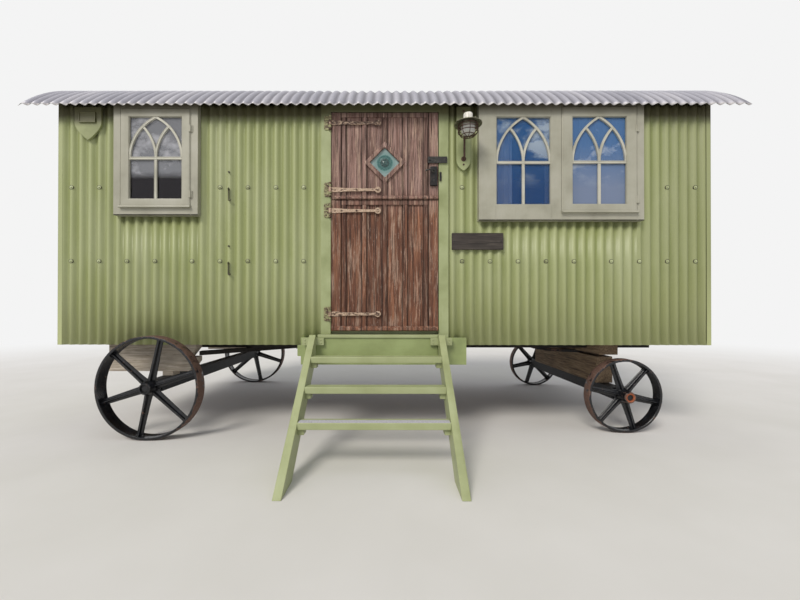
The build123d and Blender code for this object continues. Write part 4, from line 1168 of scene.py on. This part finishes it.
# Wall lamp on its painted back plate, and the bare shield
lamp = {
    "x": 645,
    "out": 190,             # from the sheets' crests to the middle of the jar
    "plate": (115, 25),
    "plateTop": 2668,
    "shoulder": 2246,
    "tip": 2146,
    "foot": 2.7,            # how full the pointed foot is
    "shadeZ": 2438,
    "shade": 106,
    "cap": 35,
    "jar": 52,
    "cage": 74,
    "wire": 2.6,
    "uprights": 8,
    "rod": 8,
    "rodFoot": 2241,
    "screws": (2196, 2560, 2630),
}
shield = {
    "thickness": 20,
    "shoulder": 2536,
    "tip": 2397,
    "foot": 1.7,
    "plate": (135, 84, 7),
    "plateZ": 2580,
    "lip": 7,
}


def pointedOutline(x, half, top, piece):
    # Straight sides down to the shoulder, then a curve on each side down to the point
    shoulder, fall = piece["shoulder"], piece["tip"] - piece["shoulder"]
    parts = [k / 16 for k in range(17)]
    side = [(x + half * (1 - part ** piece["foot"]), shoulder + fall * part) for part in parts]
    return [(x - half, top), (x + half, top)] + side + [(2 * x - px, pz) for px, pz in side[-2::-1]]


def buildShield():
    low, high = boxMm("shield_plaque")
    x, half = (low[0] + high[0]) / 2, (high[0] - low[0]) / 2
    board, plate = newShape(), newShape()
    addPlate(board, pointedOutline(x, half, high[2], shield), crestY, shield["thickness"])
    addPiece("shield_board", board, shieldPaint, stands="shield_plaque", bevel=3, steps=3)
    wide, tall, thick = shield["plate"]
    z = shield["plateZ"]
    around = cornersOf((x - wide / 2, x + wide / 2), (z - tall / 2, z + tall / 2))
    face, lip = crestY - shield["thickness"], shield["lip"]
    addPlate(plate, around, face, thick)
    addMoulding(plate, around, [(0, -3), (0, 5), (lip, 5), (lip, -3)], face - thick, closed=True)
    addPiece("shield_plate", plate, shieldPaint, bevel=1)


def buildLamp():
    plate, arm, cap, shade, cage, jar = [newShape() for n in range(6)]
    x, y, z = lamp["x"], crestY - lamp["out"], lamp["shadeZ"]
    half, thick = lamp["plate"][0] / 2, lamp["plate"][1]
    face = crestY - thick

    def around(radius, drop, angles):
        return [(x + radius * math.cos(t), y + radius * math.sin(t), z + drop) for t in angles]

    addPlate(plate, pointedOutline(x, half, lamp["plateTop"], lamp), crestY, thick)
    addPiece("lamp_back_plate", plate, postPaint, stands="wall_lamp", bevel=4, steps=3)

    # swan neck, from its foot up and out to the lampholder
    low, top = lamp["rodFoot"], z + 48
    neck = [(0, low), (18, low), (27, low + 8), (30, low + 22), (30, top - 42), (34, top - 18),
            (48, top - 3), (66, top), (lamp["out"] - thick - 20, top)]
    addRod(arm, [(x, face - out, up) for out, up in neck], lamp["rod"], 14, shade=0.7)
    addTurned(arm, [(20, 0), (20, 4), (13, 8)], (x, face, low), (0, -1, 0), 24, shade=0.7)
    addTurned(arm, [(17, 0), (17, 18), (13, 22)], (x, y + 46, top), (0, -1, 0), 24, shade=0.3)
    for screw in lamp["screws"]:
        addHead(arm, x, face, screw, 8, 4, shade=0.4)
    addPiece("lamp_arm", arm, rustIron, smooth=50)

    cup = lamp["cap"]
    profile = [(cup + 1, 24), (cup + 1, 40), (cup, 42), (cup, 76), (cup - 3, 83), (cup - 10, 86)]
    addTurned(cap, profile, (x, y, z), sides=40)
    addPiece("lamp_cap", cap, ceramic, smooth=40)

    rim, collar = lamp["shade"], lamp["jar"] + 6
    profile = [(cup + 4, 32), (cup + 8, 31), (cup + 11, 25), (cup + 22, 20), (rim - 24, 14), (rim - 7, 8),
               (rim, 4), (rim, 0.5), (rim - 4, 0), (rim - 11, 3), (rim - 26, 9), (cup + 20, 14),
               (cup + 4, 16)]
    addTurned(shade, profile, (x, y, z), sides=72, closed=True)
    for foot in around(rim - 13, 0, turns(lamp["uprights"], 0.5)):
        addTurned(shade, [(5, 0), (5, 13), (3.5, 15)], foot, sides=10)
    profile = [(collar - 8, 14), (collar, 12), (collar, -10), (collar - 2, -12), (collar - 8, -12)]
    addTurned(shade, profile, (x, y, z), sides=48, closed=True)
    addPiece("lamp_shade", shade, lampBrass, smooth=45)

    wide, wire = lamp["cage"], lamp["wire"]
    # each upright, from the shade down to the middle of the foot
    bars = [(wide - 6, 6), (wide - 1, -4), (wide, -30), (wide, -52), (wide - 6, -70), (wide - 20, -83),
            (wide - 40, -91), (8, -93)]
    for turn in turns(lamp["uprights"]):
        addRod(cage, [around(r, drop, [turn])[0] for r, drop in bars], wire, 8)
    for r, drop in ((wide + 1, -8), (wide + 2, -33), (wide + 1, -57), (wide - 22, -84)):
        addRod(cage, around(r, drop, turns(45)), wire + 0.6, 8, closed=True)
    addPiece("lamp_cage", cage, rustIron, smooth=45)

    wide = lamp["jar"]
    profile = [(wide - 4, 4), (wide, -8), (wide + 2, -34), (wide, -56), (wide - 10, -70), (wide - 28, -79),
               (2, -82)]
    addTurned(jar, profile, (x, y, z), sides=48)
    addPiece("lamp_jar", jar, jarGlassWithPaintedGlints, smooth=60)


buildShield()
buildLamp()
print("lamp done")

# Roofing bolts, on every third or fourth corrugation, counted from the one at sheet["crestAt"],
# and on the ends from their middle
fixings = {
    "front": (-34, -31, -28, -25, -21, -18, -15, -12, -9, 8, 11, 14, 17, 20, 24, 27, 30, 33),
    "back": range(-34, 35, 3),
    "ends": range(-12, 13, 3),
    "rows": (1416, 2019),
    "clear": 20,            # none come nearer than this to a window
    "washer": 14,
    "head": 8,
}


def buildFixings():
    bolts, sealShadowRings = newShape(), newShape()
    clear, wide, head = fixings["clear"], fixings["washer"], fixings["head"]
    covers = [boxMm("left_window_frame"), boxMm("right_window_frame")]

    def addBolt(x, y, z, way):
        # a dark ring just wider than each washer: a sealing washer, and painted shadow round it
        addTurned(sealShadowRings, [(wide + 4, -4), (wide + 4, 0.6), (wide, 1)], (x, y, z), way, 18)
        addTurned(bolts, [(wide, -2), (wide, 1.5), (wide - 3, 3), (head, 3)], (x, y, z), way, 18, shade=1.0)
        addTurned(bolts, [(head, 2), (head, 8), (head - 2, 10)], (x, y, z), way, 6, shade=0.0)

    def covered(x, z):
        return any(low[0] - clear < x < high[0] + clear and low[2] - clear < z < high[2] + clear
                   for low, high in covers)

    for row in fixings["rows"]:
        for index in fixings["front"]:
            x = sheet["crestAt"] + sheet["pitch"] * index
            if not covered(x, row):
                addBolt(x, crestY, row, (0, -1, 0))
        for index in fixings["back"]:
            addBolt(sheet["crestAt"] + sheet["pitch"] * index, backCrestY, row, (0, 1, 0))
        for side in (-1, 1):
            for index in fixings["ends"]:
                addBolt(side * halfLength, middleY + sheet["pitch"] * index, row, (side, 0, 0))
    addPiece("roofing_bolts", bolts, boltPaint, smooth=50)
    addPiece("bolt_seal_shadow_rings", sealShadowRings, hookPaint, smooth=50)


# Cabin hooks that hold the open leaves, hanging from their eyes
hooks = {
    "x": -1263,
    "heights": (2002, 1398),
    "eyeOut": 13,
    "catch": 140,           # the eye it drops into stands this much higher
    "wire": 6.5,
    # across, out of the wall, and down from the eye
    "path": [(0, 0, 5), (0, 0, 40), (0, 0, 72), (1, 2, 84), (4, 3, 92), (9, 3, 95), (13, 2, 91),
             (14, 0, 84)],
}


def buildHooks():
    shape = newShape()
    x, wall = hooks["x"], crestY + 2
    eyeY = crestY - hooks["eyeOut"]
    for z in hooks["heights"]:
        addRod(shape, [(x, wall, z), (x, eyeY + 6, z)], 4, 8)
        eye = [(x, eyeY - 1 + 8 * math.cos(t), z + 8 * math.sin(t)) for t in turns(20)]
        addRod(shape, eye, 4.4, 8, closed=True)
        catch = z + hooks["catch"]
        addRod(shape, [(x, wall, catch), (x, crestY - 14, catch)], 7, 12)
        path = [(x + across, eyeY - out, z - down) for across, out, down in hooks["path"]]
        addRod(shape, path, hooks["wire"], 10)
    addPiece("cabin_hooks", shape, hookPaint, stands="door_hooks", smooth=50)


# Bolts of the hangers, the worn grit strip on the bottom tread, and the bare sign's screws
small = {
    "hangerBolts": ((22, 150), (755, 780)),     # in from the steps' sides, and up
    "grit": (45, 46.4),     # up from the bottom tread's foot
    "signScrew": 18,        # in from the sign's ends
}


def buildSmallIron():
    bolts, strip, screws = newShape(), newShape(), newShape()
    low, high = boxMm("step_fixings")
    hangers = boxMm("apron_board")[0][1] - 30
    inward, heights = small["hangerBolts"]
    for x in [low[0] + out for out in inward] + [high[0] - out for out in inward]:
        for z in heights:
            addHead(bolts, x, hangers, z, 6, 4)
    addPiece("hanger_bolts", bolts, stringerPaint, smooth=50)
    low, high = boxMm("step_treads")
    under, over = small["grit"]
    addBlock(strip, (low[0] + 6, low[1] + 3, low[2] + under), (high[0] - 6, low[1] + 58, low[2] + over))
    addPiece("tread_grit_strip", strip, gritStrip, bevel=0.5)
    low, high = boxMm("sign_board")
    for x in (low[0] + small["signScrew"], high[0] - small["signScrew"]):
        addHead(screws, x, low[1], (low[2] + high[2]) / 2, 6, 3)
    addPiece("sign_screws", screws, greyIron, smooth=50)


buildFixings()
buildHooks()
buildSmallIron()

# Steps, frame and undercarriage keep their CAD shapes, with eased arrises and their own finish
for material, arrises in (
        (postPaint, {"door_frame": 2}),
        (stepPaint, {"threshold": 3, "step_treads": 4, "step_fixings": 2}),
        (shadedApronPaint, {"apron_board": 3}),
        (stringerPaint, {"step_stringers": 3}),
        (signWood, {"sign_board": 2.5}),
        (greyTimber, {"rear_blocks": 5}),
        (crossTimber, {"front_bolsters": 5}),
        (darkTimber, {"chassis_frame": 4, "floor_frame": 3}),
        (beamIron, {"rear_axle": 5, "front_axle": 5}),
        (soffitStainAndShade, {"roof_deck": 0}),
        (innerWood, {"floor_boards": 0, "front_wall_left": 0, "front_wall_right": 0, "back_wall": 0,
                     "left_end_wall": 0, "right_end_wall": 0})):
    for name, arris in arrises.items():
        finishNode(name, material, arris)
print("small iron and timber done")

# Curtains and blind behind the glass
curtain = {
    "pole": (900, 2090),    # its ends in X
    "poleZ": 2640,
    "y": -505,
    "wall": -539,           # where its brackets end
    "drop": (2636, 1800),
    "folds": {
        # where it hangs in X, the width of one fold, and its depth
        "left": ((925, 1085), 46, 15),
        "right": ((1665, 2060), 72, 17),
    },
    "columns": 90,
    "rows": 14,
}
blind = {
    "half": 262,
    "drop": (2610, 2124),
    "y": -572,
    "ripple": 1.5,
    "columns": 12,
    "rows": 16,
    "roller": 15,
}


def buildCurtain(side):
    # A gathered curtain: its cut width is the length along its folds
    (x0, x1), fold, depth = curtain["folds"][side]
    top, bottom = curtain["drop"]
    columns, rows = curtain["columns"], curtain["rows"]
    shape = newShape()
    grid = []
    for k in range(rows + 1):
        part = k / rows
        z = top + (bottom - top) * part
        row = []
        for n in range(columns + 1):
            x = x0 + (x1 - x0) * n / columns
            phase = 2 * math.pi * x / fold + 0.5 * math.sin(x / 61) + 0.3 * math.sin(z / 140)
            out = depth * math.sin(phase) * (0.75 + 0.25 * part)
            row.append(addVertex(shape, (x, curtain["y"] + out, z)))
        grid.append(row)
    skinGrid(shape, grid)
    piece = addPiece(side + "_curtain", shape, curtainCloth, smooth=80)


def buildPole():
    shape = newShape()
    start, end = curtain["pole"]
    y, z = curtain["y"], curtain["poleZ"]
    knob = [(4, 0), (11, 4), (11, 14), (7, 18)]
    profile = knob + [(radius, end - start - along) for radius, along in reversed(knob)]
    addTurned(shape, profile, (start, y, z), (1, 0, 0), 20)
    for x in (start + 30, end - 30):
        addRod(shape, [(x, y, z), (x, curtain["wall"], z)], 6, 10)
    addPiece("curtain_pole", shape, lampBrass, smooth=40)


def buildBlind():
    cloth, roll, lath = newShape(), newShape(), newShape()
    centre, half = panes["left"][0][0], blind["half"]
    x0, x1 = centre - half, centre + half
    top, bottom = blind["drop"]
    y, rows, columns = blind["y"], blind["rows"], blind["columns"]
    grid = [[addVertex(cloth, (x0 + (x1 - x0) * n / columns, y + blind["ripple"] * math.sin(k * 0.9),
                               top + (bottom - top) * k / rows)) for n in range(columns + 1)]
            for k in range(rows + 1)]
    skinGrid(cloth, grid)
    piece = addPiece("roller_blind", cloth, blindCloth, smooth=80)
    radius = blind["roller"]
    profile = [(6, -5), (radius, 0), (radius, x1 - x0), (6, x1 - x0 + 5)]
    addTurned(roll, profile, (x0, y + radius, top + 2), (1, 0, 0), 28)
    addPiece("blind_roller", roll, blindCloth, smooth=40)
    addBlock(lath, (x0, y - 4, bottom - 12), (x1, y + 4, bottom + 6))
    addPiece("blind_lath", lath, windowPaint, bevel=2)


buildPole()
buildCurtain("left")
buildCurtain("right")
buildBlind()
print("curtains done")

# Studio: pale floor that fades into a white backdrop, soft key from the upper left
studio = {
    "floor": ("#d6d4cf", "#dcdad6"),
    "floorHalf": 90,              # metres
    "backdrop": "#f4f4f4",
    "keyTurn": (48, 0, -28),      # degrees
    "keyStrength": 2.1,
    "keySoftness": 22,            # degrees across
    "skyStrength": 0.62,
    "fadeFrom": 5.5,              # metres from the hut's middle
    "fadeTo": 13.0,
}
view = {
    "standOff": 3.008,            # metres from the front sheets' crests
    "across": 0.038,
    "height": 1.030,
    "turn": (0.253, 0.112, -0.041),    # degrees up, to the left, and rolled
    "lens": 16.615,
    "shift": (0.01526, 0.00875),
}


def seenBy(tree, *rays):
    # 1 for these kinds of ray and 0 for the light on the hut
    path = addNode(tree, "LightPath")
    seen = path.outputs[rays[0]]
    for ray in rays[1:]:
        seen = addNode(tree, "Math", {0: seen, 1: path.outputs[ray]}, operation="MAXIMUM").outputs[0]
    return seen


def buildWorld():
    world = bpy.data.worlds.new("studioBackdrop")
    bpy.context.scene.world = world
    world.use_nodes = True
    tree = world.node_tree
    tree.nodes.clear()
    seen = seenBy(tree, "Is Camera Ray", "Is Glossy Ray", "Is Transmission Ray")
    lit = addNode(tree, "Background", {"Color": "#f6f8ff", "Strength": studio["skyStrength"]})
    shown = addNode(tree, "Background", {"Color": studio["backdrop"], "Strength": 1.0})
    addNode(tree, "OutputWorld", {"Surface": addNode(tree, "MixShader", {0: seen, 1: lit, 2: shown})})


def buildFloor():
    material, tree = startMaterial("paintedStudioFloor", Roughness=0.85)
    shader = tree.nodes["Principled BSDF"]
    paint = patches(tree, (770, 770, 770), list(zip((0.3, 0.7), studio["floor"])), 3)
    tree.links.new(paint, shader.inputs["Base Color"])
    place = addNode(tree, "TexCoord").outputs["Object"]
    far = addNode(tree, "VectorMath", {0: place}, operation="LENGTH").outputs["Value"]
    span = {"Value": far, "From Min": studio["fadeFrom"], "From Max": studio["fadeTo"]}
    fade = addNode(tree, "MapRange", span, interpolation_type="SMOOTHSTEP")
    seen = seenBy(tree, "Is Camera Ray", "Is Glossy Ray")
    fade = addNode(tree, "Math", {0: fade, 1: seen}, operation="MULTIPLY")
    glow = addNode(tree, "Emission", {"Color": studio["backdrop"], "Strength": 1.0})
    mixed = addNode(tree, "MixShader", {0: fade, 1: shader, 2: glow})
    tree.links.new(mixed.outputs[0], tree.nodes["Material Output"].inputs["Surface"])
    half = studio["floorHalf"]
    mesh = bpy.data.meshes.new("studioFloor")
    mesh.from_pydata([(x, y, 0) for x, y in cornersOf((-half, half), (-half, half))], [], [(0, 1, 2, 3)])
    mesh.materials.append(material)
    floor = bpy.data.objects.new("studioFloor", mesh)
    bpy.context.scene.collection.objects.link(floor)
    floor.location.z = -mm


def placeKey():
    key = bpy.data.lights.new("softKey", "SUN")
    key.energy = studio["keyStrength"]
    key.angle = math.radians(studio["keySoftness"])
    key.color = linear("#fffaf2")[:3]
    lamp = bpy.data.objects.new("softKey", key)
    lamp.rotation_euler = [math.radians(v) for v in studio["keyTurn"]]
    bpy.context.scene.collection.objects.link(lamp)


def placeCamera():
    lens = bpy.data.cameras.new("photoView")
    lens.lens = view["lens"]
    lens.sensor_width = 36
    lens.shift_x, lens.shift_y = view["shift"]
    lens.clip_start = 0.05
    lens.clip_end = 300
    camera = bpy.data.objects.new("photoView", lens)
    camera.location = (view["across"], crestY * mm - view["standOff"], view["height"])
    up, left, roll = view["turn"]
    camera.rotation_euler = (math.radians(90 + up), math.radians(roll), math.radians(left))
    bpy.context.scene.collection.objects.link(camera)
    bpy.context.scene.camera = camera


bpy.context.scene.view_settings.view_transform = "Standard"
buildWorld()
buildFloor()
placeKey()
placeCamera()
